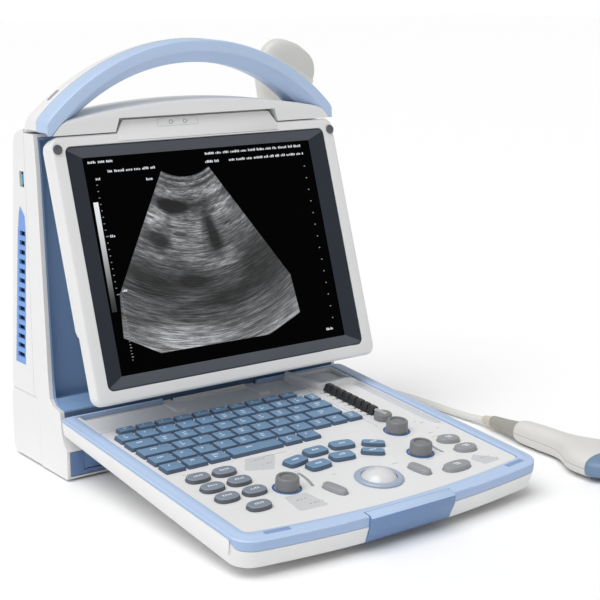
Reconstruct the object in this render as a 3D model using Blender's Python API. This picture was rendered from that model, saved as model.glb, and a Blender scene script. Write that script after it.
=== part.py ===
"""Portable ultrasound scanner: a tower with a tilting screen, a folding control panel and two probes.

Lengths are in millimetres in the outline functions and become metres when a mesh is made. X runs to
the operator's right, Y runs back and Z up. Depths in the tower's outlines are measured from the front
of its base, and the origin is the centre of its base on the table.
"""

import math

import bmesh
import bpy
from mathutils import Matrix, Vector

MM = 0.001
GAP = 0.3  # clearance between neighbouring pieces

# The tower.
TOWER_DEPTH = 110.0
TOWER_HALF = 154.5
WALL = 3.0
SEAM_Y = 62.0  # where the front and rear housings meet
SEAM_Z = 65.4  # the top of the battery pack
BASE_Z = 1.8  # the underside of the housings
CAP_Z = 305.7
CAP_FRONT = 16.0
CAP_RISE = 15.5  # how far the cap's top rises from its ends to its middle
CAP_END_Z = 315.0
BAY_HALF = 149.9
BAY_BACK = 50.0
BAY_FLOOR = 64.4

VENT_LOW_LEFT = 92.0
VENT_LOW_RIGHT = 164.0  # above the probe socket
VENT_TOP = 220.0

# The carrying handle, an arc about a point on the centre plane.
HANDLE_CENTRE_Z = 172.5
HANDLE_OUTER = 211.5
HANDLE_CREASE = 200.8
HANDLE_INNER = 190.5
HANDLE_SWEEP = math.radians(50)
HANDLE_SPREAD = math.radians(47)  # where the rear half is at its deepest

# The screen: u runs right, v down from its top edge and w out of its face.
SCREEN_TILT = math.radians(17.78)
SCREEN_TOP = (0.0, 16.51, 305.34)
SCREEN_HALF = 152.5
SCREEN_HEIGHT = 234.0
SCREEN_PIVOT_V = -15.0
SCREEN_PIVOT_W = -12.0
FRAME_DEPTH = 12.5
COVER_DEPTH = 18.3
COVER_END_V = 176.0
BEZEL_HALF = 139.55
BEZEL_TOP = 9.6
BEZEL_BOTTOM = 222.5
WINDOW_HALF = 123.0
WINDOW_TOP = 19.5
WINDOW_BOTTOM = 211.4
GLASS_DEPTH = 4.9

# The control panel: u runs right, v forward from its rear edge and w out of its face.
PANEL_SLOPE = math.radians(5.25)
PANEL_REAR = (0.0, 8.14, 59.02)
PANEL_HALF = 157.6
PANEL_FRONT = 295.0
PANEL_BOW = 13.0  # how far the front edge bulges forward at its middle
RIM_WIDTH = 13.8
TRIM_SIDE = 2.2
TRIM_FRONT = 9.0
UNDERSIDE_REAR = 16.6
UNDERSIDE_FRONT = 25.8
DECK_W = -1.0
FOLD_Y = -14.0
FOLD_Z = 48.0
HINGE_R = 2.0
LUG_U = 47.0
LUG_WIDTH = 12.0

# Controls on the panel.
KEY_TOP = 2.4
TRAY_WALL = 3.2
BUTTON_TOP = 2.8
BUTTON_WELL = -3.0
KNOB_R = 9.6
KNOB_HEIGHT = 9.8
BALL_R = 19.0
BALL_AT = (9.3, 240.6)
BALL_W = -11.0
KEYBOARD = (-142.5, 82.0, 46.3, 152.5)  # left, right, rear, front
SLIDER_COUNT = 8
SLIDER_PITCH = 9.2
SLIDER_U = 98.0
SLIDER_V = 61.0

# The probe lead.
LEAD_R = 3.5
COIL_AT = (115.0, 178.0)
COIL_MEAN_R = 37.5
COIL_SIDE = 10.7  # half the width of the bundle of turns
COIL_HEIGHT = 15.0
STORED_AT = (131.0, 101.5, 292.0)  # where the stored probe's neck meets its holder
STORED_LEAN = math.radians(27)
LEAD_FROM_PLUG = [
    (170, 85, 91.6), (170, 85.5, 80), (170, 88, 62), (170, 95, 42), (169, 106, 24), (164.5, 117, 11.5),
    (153, 123.6, 5.2), (137, 125.6, 3.7), (118, 125.4, 3.7),
]
LEAD_TO_PROBE = [
    (167.1, 178, 3.7), (167.6, 164, 3.7), (174, 146, 3.7), (190, 126, 3.7), (213, 106, 3.7), (236, 82, 3.7),
    (250, 52, 3.7), (255.4, 18, 3.7), (256.4, -18, 3.7), (256.2, -52, 3.8), (255.8, -80, 4.8), (255.1, -103.9, 7.3),
]


def clear_scene():
    for obj in list(bpy.data.objects):
        bpy.data.objects.remove(obj)


def material(name, colour, roughness=0.5, metallic=0.0):
    """A Principled material, or the one that already has this name."""
    found = bpy.data.materials.get(name)
    if found:
        return found
    made = bpy.data.materials.new(name)
    made.use_nodes = True
    shader = made.node_tree.nodes["Principled BSDF"]
    shader.inputs["Base Color"].default_value = (*colour, 1.0)
    shader.inputs["Roughness"].default_value = roughness
    shader.inputs["Metallic"].default_value = metallic
    made.diffuse_color = (*colour, 1.0)
    return made


def white():
    return material("white_plastic", (0.83, 0.83, 0.83), 0.4)


def pale_blue():
    return material("pale_blue_plastic", (0.50, 0.66, 0.86), 0.4)


def deep_blue():
    return material("deep_blue_plastic", (0.08, 0.14, 0.26), 0.45)


def mid_blue():
    return material("mid_blue_plastic", (0.20, 0.33, 0.58), 0.45)


def key_blue():
    return material("key_rubber", (0.15, 0.25, 0.42), 0.5)


def grey():
    return material("grey_plastic", (0.22, 0.25, 0.29), 0.5)


def dark():
    return material("dark_plastic", (0.03, 0.035, 0.045), 0.4)


def rubber():
    return material("black_rubber", (0.02, 0.02, 0.02), 0.8)


def steel():
    return material("steel", (0.6, 0.6, 0.6), 0.3, 1.0)


# Frames of reference: an empty on each joint's axis, and the datum that its pieces are drawn from.


class Frame:
    """Pieces are drawn from the datum, which is tilted about X, and hang from an empty on the axis."""

    def __init__(self, name, datum=(0, 0, 0), tilt=0.0, axis_y=0.0, axis_z=0.0):
        self.datum = datum
        self.tilt = tilt
        self.axis = Vector((0, axis_y, axis_z))
        self.empty = bpy.data.objects.new(name, None)
        bpy.context.scene.collection.objects.link(self.empty)
        self.empty.location = self.in_row((0, axis_y, axis_z))
        self.empty.rotation_euler = (tilt, 0, 0)

    def in_row(self, point):
        """A point of this frame, in the row's frame and in metres."""
        x, y, z = point
        across = y * math.cos(self.tilt) - z * math.sin(self.tilt)
        up = y * math.sin(self.tilt) + z * math.cos(self.tilt)
        back = self.datum[1] + across - TOWER_DEPTH / 2
        return Vector((self.datum[0] + x, back, self.datum[2] + up)) * MM

    def hold(self, obj, at=(0, 0, 0), turn=(0, 0, 0)):
        obj.parent = self.empty
        obj.location = (Vector(at) - self.axis) * MM
        obj.rotation_euler = turn
        return obj


# Shapes.


def shaded(mesh, degrees=37):
    """Round faces shade smooth, and an edge sharper than this stays an edge."""
    mesh.shade_smooth()
    mesh.set_sharp_from_angle(angle=math.radians(degrees))


def mesh_object(name, points, faces, paint):
    mesh = bpy.data.meshes.new(name)
    mesh.from_pydata([Vector(p) * MM for p in points], [], faces)
    bm = bmesh.new()
    bm.from_mesh(mesh)
    bmesh.ops.recalc_face_normals(bm, faces=bm.faces)
    bm.to_mesh(mesh)
    bm.free()
    shaded(mesh)
    obj = bpy.data.objects.new(name, mesh)
    bpy.context.scene.collection.objects.link(obj)
    if paint:
        mesh.materials.append(paint)
    return obj


def skin(name, loops, paint, ring=False):
    """A closed surface through loops of equal length: capped at both ends, or closed on itself."""
    count = len(loops[0])
    points = [p for loop in loops for p in loop]
    faces = []
    for k in range(len(loops) if ring else len(loops) - 1):
        low = k * count
        high = (k + 1) % len(loops) * count
        for i in range(count):
            j = (i + 1) % count
            faces.append((low + i, low + j, high + j, high + i))
    if not ring:
        faces.append(tuple(range(count))[::-1])
        faces.append(tuple(range(len(points) - count, len(points))))
    return mesh_object(name, points, faces, paint)


def at_x(outline, x):
    return [(x, a, b) for a, b in outline]


def at_y(outline, y):
    return [(a, y, b) for a, b in outline]


def at_z(outline, z):
    return [(a, b, z) for a, b in outline]


def prism_x(name, outline, low, high, paint=None):
    return skin(name, [at_x(outline, low), at_x(outline, high)], paint)


def prism_y(name, outline, low, high, paint=None):
    return skin(name, [at_y(outline, low), at_y(outline, high)], paint)


def prism_z(name, outline, low, high, paint=None):
    return skin(name, [at_z(outline, low), at_z(outline, high)], paint)


def rectangle(a0, a1, b0, b1):
    return [(a0, b0), (a1, b0), (a1, b1), (a0, b1)]


def box(name, x, y, z, paint=None):
    return prism_z(name, rectangle(*x, *y), *z, paint)


def circle(radius, count=16, centre=(0, 0)):
    turn = 2 * math.pi / count
    return [
        (centre[0] + radius * math.cos(i * turn), centre[1] + radius * math.sin(i * turn))
        for i in range(count)
    ]


def oval(half_a, half_b, count=16, squareness=2.0):
    """A superellipse."""
    points = []
    for i in range(count):
        angle = 2 * math.pi * (i + 0.5) / count
        c, s = math.cos(angle), math.sin(angle)
        a = half_a * math.copysign(abs(c) ** (2 / squareness), c)
        b = half_b * math.copysign(abs(s) ** (2 / squareness), s)
        points.append((a, b))
    return points


def rounded(corners, steps=3):
    """An outline through corners (a, b, radius), each with radius turned into an arc."""
    points = []
    for i, (a, b, radius) in enumerate(corners):
        here = Vector((a, b))
        before = (Vector(corners[i - 1][:2]) - here).normalized()
        after = (Vector(corners[(i + 1) % len(corners)][:2]) - here).normalized()
        if radius <= 0:
            points.append((a, b))
            continue
        half = before.angle(after) / 2
        reach = radius / math.tan(half)
        centre = here + (before + after).normalized() * radius / math.sin(half)
        start = here + before * reach - centre
        end = here + after * reach - centre
        turn = start.angle_signed(end)
        for k in range(steps + 1):
            arm = start.copy()
            arm.rotate(Matrix.Rotation(-turn * k / steps, 2))
            points.append(tuple(centre + arm))
    return points


def rounded_box(half_a, low, high, radius, steps=3):
    """A rectangle about a = 0 with round corners."""
    corners = [(-half_a, low), (half_a, low), (half_a, high), (-half_a, high)]
    return rounded([(a, b, radius) for a, b in corners], steps)


def turned(outline, centre, turn):
    """An outline turned about its middle and moved to centre."""
    c, s = math.cos(turn), math.sin(turn)
    return [(centre[0] + a * c - b * s, centre[1] + a * s + b * c) for a, b in outline]


def boolean(obj, other, operation):
    other.hide_render = True
    other.display_type = "WIRE"
    modifier = obj.modifiers.new(other.name, "BOOLEAN")
    modifier.operation = operation
    modifier.object = other
    return obj


def cut(obj, *cutters):
    for cutter in cutters:
        cutter.parent = obj
        boolean(obj, cutter, "DIFFERENCE")
    return obj


def fuse(obj, *others):
    for other in others:
        other.parent = obj
        boolean(obj, other, "UNION")
    return obj


def group(name, pieces):
    """Separate cutters as one mesh."""
    bm = bmesh.new()
    for piece in pieces:
        bm.from_mesh(piece.data)
        bpy.data.objects.remove(piece)
    mesh = bpy.data.meshes.new(name)
    bm.to_mesh(mesh)
    bm.free()
    obj = bpy.data.objects.new(name, mesh)
    bpy.context.scene.collection.objects.link(obj)
    return obj


# The tower.


def tower_front(tower):
    profile = [
        (3.5, BASE_Z), (1.8, 4), (1.8, 28.5), (6, 33), (9.3, 39), (11, 45), (11.4, 52), (12.2, 59),
        (13.2, 62.6), (26, 64.6), (31.5, 70), (33, 87), (34, 124), (38, 222), (40, 275), (42, 297),
        (43.5, 305.3), (SEAM_Y - 0.15, 305.3), (SEAM_Y - 0.15, SEAM_Z + GAP), (59, SEAM_Z + GAP),
        (54.5, 63.4), (52, 58), (52, BASE_Z),
    ]
    body = prism_x("front_housing", profile, -TOWER_HALF, TOWER_HALF, white())
    inner = [
        (5, 4.8), (5, 29), (8.5, 34), (12.2, 41), (14, 47), (14.4, 53), (15.2, 59.4), (70, 59.4), (70, 4.8),
    ]
    hollow = prism_x("front_hollow", inner, -TOWER_HALF + WALL, TOWER_HALF - WALL)
    bay = box("bay_opening", (-BAY_HALF - GAP, BAY_HALF + GAP), (-10, 70), (61.9, 302.6))
    plate_recess = box("plate_recess", (-151.3, 151.3), (0, 3.3), (4.7, 27.3))
    cut(body, hollow, bay, plate_recess)
    lugs = [hinge_lug("lug_left", -LUG_U), hinge_lug("lug_right", LUG_U)]
    fuse(body, *lugs)
    across = [(FOLD_Y + a, FOLD_Z + b) for a, b in circle(HINGE_R + GAP, 12)]
    cut(body, prism_x("lug_bore", across, -LUG_U - LUG_WIDTH, LUG_U + LUG_WIDTH))
    return tower.hold(body)


def hinge_lug(name, middle):
    """An arm that reaches forward from the tower to the panel's hinge axis."""
    nose = [
        (FOLD_Y + 5.5 * math.cos(math.radians(a)), FOLD_Z + 5.5 * math.sin(math.radians(a)))
        for a in range(270, 89, -30)
    ]
    outline = [(13, 54.5), *reversed(nose), (6, FOLD_Z - 5.5), (13, 45)]
    return prism_x(name, outline, middle - LUG_WIDTH / 2, middle + LUG_WIDTH / 2)


def tower_rear(tower):
    low = SEAM_Z + GAP
    profile = [
        (SEAM_Y + 0.15, low), (106, low), (105.7, 71), (92.7, 196), (83.6, 288), (82.6, 297),
        (79.5, 302.5), (72, 306.6), (64, 308.6), (SEAM_Y + 0.15, 308.8),
    ]
    body = prism_x("rear_housing", profile, -TOWER_HALF, TOWER_HALF, white())
    inner = [
        (50, 60), (102.4, 60), (102.4, 71), (89.6, 196), (80.6, 287), (79, 296), (70, 303.4), (50, 305),
    ]
    hollow = prism_x("rear_hollow", inner, -TOWER_HALF + WALL, TOWER_HALF - WALL)
    vents = [
        prism_x("vent_left_opening", vent_outline(0, VENT_LOW_LEFT), -160, -150),
        prism_x("vent_right_opening", vent_outline(0, VENT_LOW_RIGHT), 150, 160),
    ]
    port = box("port_opening", (-160, -150), (64.7, 73.3), (256.7, 270.9))
    socket = box("socket_opening", (150, 160), (71.7, 98.3), (107.7, 152.3))
    cut(body, hollow, group("vent_openings", vents), port, socket)
    return tower.hold(body)


def vent_front(z):
    """The front edge of a side vent, which narrows towards its top."""
    return 74.3 - 0.0957 * (z - 116) if z < 214 else 64.9 + 0.06 * (z - 214)


def vent_rear(z):
    return 96.6 - 0.1228 * (z - 92)


def vent_outline(shrink, low):
    """The louvred panel in a side wall: a pointed top and sides that follow the rear face."""
    front = [(vent_front(z) + shrink, z) for z in (low + shrink, 214, 231)]
    rear = [(vent_rear(z) - shrink, z) for z in (215, low + shrink)]
    return [*front, (74.6, 239.5 - shrink), (77.6 - shrink, 233), *rear]


def vent_grille(tower, name, side, low):
    """side is -1 at the left and 1 at the right."""
    outer, inner = sorted((side * (TOWER_HALF - 0.2), side * (TOWER_HALF - 2.6)))
    plate = prism_x(name, vent_outline(GAP, low), outer, inner, pale_blue())
    slots = []
    for i in range(int((VENT_TOP - low) / 8.8)):
        z = low + 6 + 8.8 * i
        front, rear = vent_front(z) + 2.4, vent_rear(z + 4.4) - 3.4
        outline = [(front, z), (rear, z), (rear, z + 4.4), (front, z + 4.4)]
        slots.append(prism_x("slot", outline, side * 150, side * 158))
    cut(plate, group(name + "_slots", slots))
    return tower.hold(plate)


def battery(tower):
    profile = [
        (52.3, BASE_Z), (52.3, 58), (54.8, 63), (59.2, SEAM_Z), (106, SEAM_Z), (108.4, 60), (109.8, 50),
        (109.5, 11), (107.5, 4.5), (104, BASE_Z),
    ]
    body = prism_x("battery_pack", profile, -TOWER_HALF, TOWER_HALF, white())
    inlet = box("inlet_recess", (40, 64), (104, 115), (20, 36))
    cut(body, inlet)
    return tower.hold(body)


def lower_panel(tower):
    plate = box("service_hatch", (-151, 151), (1.4, 3.0), (5, 27), mid_blue())
    frame = [
        box("groove", (-138, 138), (0.5, 2.0), (9, 9.8)),
        box("groove", (-138, -137.2), (0.5, 2.0), (10.1, 28)),
        box("groove", (137.2, 138), (0.5, 2.0), (10.1, 28)),
    ]
    cut(plate, group("hatch_grooves", frame))
    return tower.hold(plate)


def bay(tower):
    side = [
        (13.6, 62.2), (25.6, 65.6), (30.8, 70.6), (33.6, 87), (34.8, 124), (38.8, 222), (41, 275),
        (43.4, 302.2), (BAY_BACK + 2, 302.2), (BAY_BACK + 2, 62.2),
    ]
    body = prism_x("screen_bay", side, -BAY_HALF, BAY_HALF, deep_blue())
    space = box("bay_space", (-BAY_HALF + 2, BAY_HALF - 2), (-10, BAY_BACK), (BAY_FLOOR, 302.2 - 1.9))
    cut(body, space)
    return tower.hold(body)


def cap_height(x):
    return CAP_END_Z + CAP_RISE * (1 - (x / 150) ** 2)


def top_cap(tower):
    half = 153.8
    xs = [half - 2 * half * i / 16 for i in range(17)]
    crown = [(x, cap_height(x)) for x in xs]
    outline = [(-half, CAP_Z), (half, CAP_Z), *crown]
    front = [(a * 0.992, b if b < CAP_Z + 1 else b - 1.6) for a, b in outline]
    loops = [at_y(front, CAP_FRONT), at_y(outline, CAP_FRONT + 2.5), at_y(outline, SEAM_Y - GAP)]
    body = skin("top_cap", loops, white())
    notch = prism_y("cap_notch", [(-91.5, 295), (91.5, 295), (84, 317.6), (-84, 317.6)], 5, 26)
    pocket = box("hinge_pocket", (-84.5, 84.5), (20, 43), (295, 324))
    y, z = pivot()[1:]
    across = [(y + a, z + b) for a, b in circle(2.8, 12)]
    bore = prism_x("cap_bore", across, -100, 100)
    shells = [
        box("cap_hollow", (-122, -104), (21, 57), (295, 313)),
        box("cap_hollow", (104, 122), (21, 57), (295, 313)),
    ]
    under = [
        (HANDLE_OUTER + 30, 5), (HANDLE_CREASE - GAP, 5), (HANDLE_CREASE - GAP, CAP_FRONT),
        (HANDLE_INNER - GAP, 29.8), (HANDLE_INNER - GAP, 75), (HANDLE_OUTER + 30, 75),
    ]
    ends = arch("handle_clearance", lambda spread: under, None)
    cut(body, notch, pocket, bore, group("cap_hollows", shells), ends)
    return tower.hold(body)


def pivot():
    """The screen's hinge axis, in the tower's frame."""
    c, s = math.cos(SCREEN_TILT), math.sin(SCREEN_TILT)
    y = SCREEN_TOP[1] - SCREEN_PIVOT_V * s - SCREEN_PIVOT_W * c
    z = SCREEN_TOP[2] - SCREEN_PIVOT_V * c + SCREEN_PIVOT_W * s
    return 0.0, y, z


def handle_trim(name):
    """What trims the arch's ends: the space below the cap's underside and outside the tower."""
    half = 153.6
    inside = [(half, 420), (half, CAP_Z), (-half, CAP_Z), (-half, 420)]
    return prism_y(name, [(-220, 420), (-220, 200), (220, 200), (220, 420), *inside], 0, 90)


def arch(name, section, paint, steps=24):
    """A section of (radius, depth) points, which may change with the spread, swept along the arc."""
    loops = []
    for i in range(steps + 1):
        angle = HANDLE_SWEEP * (2 * i / steps - 1)
        s, c = math.sin(angle), math.cos(angle)
        loops.append([(r * s, y, HANDLE_CENTRE_Z + r * c) for r, y in section(abs(s))])
    return skin(name, loops, paint)


def handle(tower):
    front = [
        (HANDLE_OUTER, 20.5), (HANDLE_OUTER - 0.8, 17), (HANDLE_CREASE, 16.3), (HANDLE_INNER, 30),
        (HANDLE_INNER, 38), (HANDLE_OUTER, 38),
    ]

    def rear(spread):
        back = 46 + 15 * min(spread / math.sin(HANDLE_SPREAD), 1) ** 2
        return [
            (HANDLE_OUTER + 0.6, 38.3), (HANDLE_INNER + 0.3, 38.3), (HANDLE_INNER + 0.3, back - 4),
            (HANDLE_INNER + 4, back), (HANDLE_OUTER - 4, back), (HANDLE_OUTER + 0.6, back - 4),
        ]

    grip = arch("handle_front", lambda spread: front, pale_blue())
    shell = arch("handle_rear", rear, white())
    cut(grip, handle_trim("grip_trim"))
    cut(shell, handle_trim("shell_trim"))
    return tower.hold(grip), tower.hold(shell)


def main_board(tower):
    """The processing board behind the screen bay, with two heat sinks."""
    green = material("circuit_board", (0.02, 0.16, 0.09))
    board = box("main_board", (-130, 130), (57, 58.6), (80, 270), green)
    sinks = [box("sink", (x - 25, x + 25), (58, 66), (150, 200)) for x in (-60, 60)]
    posts = [box("post", (x - 4, x + 4), (52.3, 58), (z, z + 8)) for x in (-120, 120) for z in (90, 250)]
    fuse(board, group("board_posts", sinks + posts))
    return tower.hold(board)


def probe_socket(tower):
    body = box("probe_socket", (150.3, 155.6), (72, 98), (108, 152), dark())
    cut(body, box("socket_well", (152, 160), (76, 94), (112, 148)))
    return tower.hold(body)


def base_plate(tower):
    """The flat plate that the tower stands on, with four holes for bolting it to a trolley."""
    plate = box("trolley_plate", (-60, 60), (8, 102), (0, BASE_Z - GAP), steel())
    holes = [
        prism_z("bolt_hole", circle(2.2, 10, (x, 45 + y)), -2, 4) for x in (-37.5, 37.5) for y in (-25, 25)
    ]
    cut(plate, group("bolt_holes", holes))
    return tower.hold(plate)


# The screen. Its pieces are drawn with X = u, Y = -w and Z = -v.


def screen_frame(screen):
    def ring(half, top, bottom, radius, depth):
        return at_y(rounded_box(half, -bottom, -top, radius), depth)

    outer = [
        ring(SCREEN_HALF - 1.2, 1.2, SCREEN_HEIGHT - 1.2, 8.5, 0),
        ring(SCREEN_HALF, 0, SCREEN_HEIGHT, 9.5, 1.6),
    ]
    outer.append(ring(SCREEN_HALF, 0, SCREEN_HEIGHT, 9.5, FRAME_DEPTH))
    half = BEZEL_HALF + GAP
    inner = [ring(half, BEZEL_TOP - GAP, BEZEL_BOTTOM + GAP, 6, d) for d in (FRAME_DEPTH, 0)]
    body = skin("screen_frame", outer + inner, white(), ring=True)
    tab = prism_y("frame_tab", [(-87, -1.5), (87, -1.5), (79, 11.2), (-79, 11.2)], 0.0, 6.0)
    y, z = -SCREEN_PIVOT_W, -SCREEN_PIVOT_V
    knuckle = [
        (2, 9), (6, 17.5), (8.5, 20.4), (y, 21.3), (15.5, 20.4), (17.6, 18), (18.3, z), (17.4, 12), (12.4, 6),
    ]
    barrel = prism_x("frame_barrel", knuckle, -78.5, 78.5)
    fuse(body, tab, barrel)
    across = [(y + a, z + b) for a, b in circle(HINGE_R + GAP, 12)]
    cut(body, prism_x("barrel_bore", across, -90, 90))
    return screen.hold(body)


def bezel(screen):
    loops = [
        at_y(rounded_box(BEZEL_HALF, -BEZEL_BOTTOM, -BEZEL_TOP, 5.7), 0.8),
        at_y(rounded_box(WINDOW_HALF, -WINDOW_BOTTOM, -WINDOW_TOP, 0.6), 4.2),
        at_y(rounded_box(WINDOW_HALF, -WINDOW_BOTTOM, -WINDOW_TOP, 0.6), 4.7),
        at_y(rounded_box(BEZEL_HALF, -BEZEL_BOTTOM, -BEZEL_TOP, 5.7), 4.7),
    ]
    return screen.hold(skin("screen_bezel", loops, dark(), ring=True))


def lcd(screen):
    outline = rounded_box(BEZEL_HALF - 1, -BEZEL_BOTTOM + 1, -BEZEL_TOP - 1, 5)
    return screen.hold(prism_y("lcd_panel", outline, GLASS_DEPTH + 0.1, 10, dark()))


def screen_cover(screen):
    half = SCREEN_HALF - 0.2
    front = FRAME_DEPTH + GAP
    low, high = -COVER_END_V, -0.6
    loops = [
        at_y(rounded_box(half - 4, low + 3.4, high - 4, 6), front + 3.5),
        at_y(rounded_box(half - 4, low + 3.4, high - 4, 6), front),
        at_y(rounded_box(half, low, high, 9), front),
        at_y(rounded_box(half, low, high, 9), COVER_DEPTH - 1),
        at_y(rounded_box(half - 1.2, low + 1.2, high - 1.2, 8), COVER_DEPTH),
    ]
    return screen.hold(skin("screen_rear_cover", loops, white()))


def bumper(screen, name, u):
    pad = prism_y(name, circle(4.3, 14, (u, -11.5)), -1.6, -GAP, rubber())
    return screen.hold(pad)


def screen_shaft(tower):
    x, y, z = pivot()
    across = [(y + a, z + b) for a, b in circle(HINGE_R, 12)]
    return tower.hold(prism_x("screen_hinge_shaft", across, -99, 99, steel()))


# The control panel. Its pieces are drawn with X = u, Y = -v and Z = w.


def panel_outline(inset, rear=None):
    """The panel's plan, drawn in by inset all round, and less at its rear edge."""
    half = PANEL_HALF - inset
    front = PANEL_FRONT - inset

    def edge(share):
        return (half * share, -(front - PANEL_BOW * share * share))

    corner = max(20 - inset, 1.5)
    points = [(*edge(-1), corner)]
    points += [(*edge(share), 0) for share in (-0.62, -0.31, 0, 0.31, 0.62)]
    points += [(*edge(1), corner)]
    back = -(0.8 + 0.3 * inset)
    points += [(half, back, max(6 - 0.3 * inset, 1.0)), (-half, back, max(6 - 0.3 * inset, 1.0))]
    return rounded(points, 4)


def underside(v):
    return -UNDERSIDE_REAR - (UNDERSIDE_FRONT - UNDERSIDE_REAR) * v / PANEL_FRONT


def trim_foot(v):
    """How far down the trim reaches: a thin edge at the sides and a deep one along the front."""
    share = min(max((v - 262) / 14, 0), 1)
    return -TRIM_SIDE - (TRIM_FRONT - TRIM_SIDE) * share * share * (3 - 2 * share)


def lifted(outline, height):
    """An outline on the panel, at a height that may depend on v."""
    return [(a, b, height(-b) if callable(height) else height) for a, b in outline]


def undercut(outline, share):
    """The front edge drawn back, and the rear corner cut away, as the underside is."""
    return [(a * (1 - 0.004 * share), b + 2.5 * share * max(0, (-b - 200) / 95) ** 2) for a, b in outline]


def panel_base(panel):
    loops = [
        lifted(undercut(panel_outline(4.5), 1), underside),
        lifted(undercut(panel_outline(1.4), 0.85), lambda v: underside(v) + 2.6),
        lifted(panel_outline(0), lambda v: trim_foot(v) - GAP),
        lifted(panel_outline(3.7), lambda v: trim_foot(v) - GAP),
        lifted(panel_outline(3.7), -4.5),
        lifted(panel_outline(17.5), -4.5),
        lifted(panel_outline(17.5), lambda v: underside(v) + 2.4),
    ]
    body = skin("panel_base", loops, white())
    heel = [(-12, -26), (3, -26), (3, -9.5)]
    cut(body, prism_x("heel_cut", heel, -170, 170), hinge_notches("base_notches"))
    across = [(-hinge_v() + a, hinge_w() + b) for a, b in circle(HINGE_R + GAP, 12)]
    cut(body, prism_x("base_bore", across, -75, 75))
    bulge = prism_z("ball_opening", circle(BALL_R + 4.2, 20, (BALL_AT[0], -BALL_AT[1])), -30, -10)
    cut(body, bulge)
    latch_space = prism_z("latch_opening", rectangle(-44.5, 44.5, -305, -278), -30, -1)
    cut(body, latch_space)
    return panel.hold(body)


def hinge_v():
    back, up = FOLD_Y - PANEL_REAR[1], FOLD_Z - PANEL_REAR[2]
    return -(back * math.cos(PANEL_SLOPE) + up * math.sin(PANEL_SLOPE))


def hinge_w():
    back, up = FOLD_Y - PANEL_REAR[1], FOLD_Z - PANEL_REAR[2]
    return -back * math.sin(PANEL_SLOPE) + up * math.cos(PANEL_SLOPE)


def hinge_notches(name):
    """Slots in the panel's rear edge for the tower's two hinge arms."""
    half = LUG_WIDTH / 2 + 0.6
    reach = -(hinge_v() + 6.2)
    return group(name, [box("notch", (u - half, u + half), (reach, 5), (-40, 8)) for u in (-LUG_U, LUG_U)])


def trim_step():
    """Where the trim's outer lip ends: outside the base's wall along the front, and inside it elsewhere."""
    along_front = panel_outline(3.4)
    elsewhere = panel_outline(4.0)
    return [p if trim_foot(-q[1]) < -4.35 else q for p, q in zip(along_front, elsewhere)]


def trim(panel):
    loops = [
        lifted(panel_outline(RIM_WIDTH), -4.2),
        lifted(panel_outline(RIM_WIDTH), -0.5),
        lifted(panel_outline(RIM_WIDTH - 0.8), 0),
        lifted(panel_outline(3.5), 0),
        lifted(panel_outline(0), -1.4),
        lifted(panel_outline(0), trim_foot),
        lifted(trim_step(), trim_foot),
        lifted(trim_step(), -4.2),
    ]
    body = skin("panel_trim", loops, pale_blue(), ring=True)
    half = LUG_U + LUG_WIDTH / 2 + 0.6
    cut(body, box("trim_rear_gap", (-half, half), (-6, 5), (-40, 8)))
    cut(body, prism_z("trim_latch_opening", rectangle(-44.5, 44.5, -305, -286.5), -30, 3))
    return panel.hold(body)


def latch(panel):
    """The catch at the middle of the front edge, which hooks over the cap when the panel is folded up."""
    side = [
        (-287.0, 0.4), (-294, 0.2), (-296.6, -2.2), (-296.4, -9.5), (-291.5, -22), (-288.5, -25.6),
        (-285.5, -26.2), (-280.5, -25), (-280.5, -10), (-284, -5.4), (-287.0, -4.8),
    ]
    body = prism_x("panel_latch", side, -44, 44, mid_blue())
    return panel.hold(body)


def deck(panel):
    inner = RIM_WIDTH + GAP
    loops = [
        lifted(panel_outline(18), -6.6),
        lifted(panel_outline(18), -4.2),
        lifted(panel_outline(inner), -4.2),
        lifted(panel_outline(inner), DECK_W - 0.4),
        lifted(panel_outline(inner + 0.6), DECK_W),
    ]
    body = skin("panel_deck", loops, white())
    channel = rounded([(-140, -44, 3), (84, -44, 3), (84, 8, 3), (-140, 8, 3)])
    tray = rounded([(99, -46, 5), (141, -46, 5), (141, -6, 4), (89, -6, 3)])
    trough = rounded([(130.5, -174, 5), (141.8, -174, 5), (141.8, -52, 4), (130.5, -52, 4)])
    recesses = [
        prism_z("channel", channel, -5.2, 6),
        prism_z("tray", tray, -5.4, 6),
        prism_z("trough", trough, -3.0, 6),
    ]
    wall = [(85, -9), (93.5, -49.5), (98, -53), (129.8, -53), (129.8, -40), (120, -9)]
    fuse(body, prism_z("tray_wall", wall, -3.5, TRAY_WALL))
    cut(body, group("deck_recesses", recesses), hinge_notches("deck_notches"))
    wells = group("button_wells", button_wells())
    cut(body, keyboard_opening(), wells, group("control_holes", control_holes()))
    return panel.hold(body)


def keyboard_opening():
    left, right, rear, front = KEYBOARD
    return box("keyboard_opening", (left, right), (-front, -rear), (-3.4, 3))


def key_rows():
    """(rear v, depth, first u, widths) of each row of keys."""
    unit = 20.3
    gap = 1.7
    return [
        (49.6, 10.0, -130.0, [19.3 - gap] * 10),
        (63.0, 15.2, -139.0, [unit - gap] * 10 + [13.5 - gap]),
        (80.6, 15.6, -139.5, [28.6 - gap] + [unit - gap] * 8 + [25.4 - gap]),
        (98.6, 15.6, -138.8, [34.6 - gap] + [unit - gap] * 7 + [36.5 - gap]),
        (116.4, 15.6, -138.8, [24.0 - gap] + [unit - gap] * 8 + [18.4 - gap, 17.6 - gap]),
        (134.4, 15.0, -138.6, [21.5 - gap, 21.5 - gap, 22.5 - gap, 55.0 - gap, unit - gap, unit - gap]),
    ]


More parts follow.
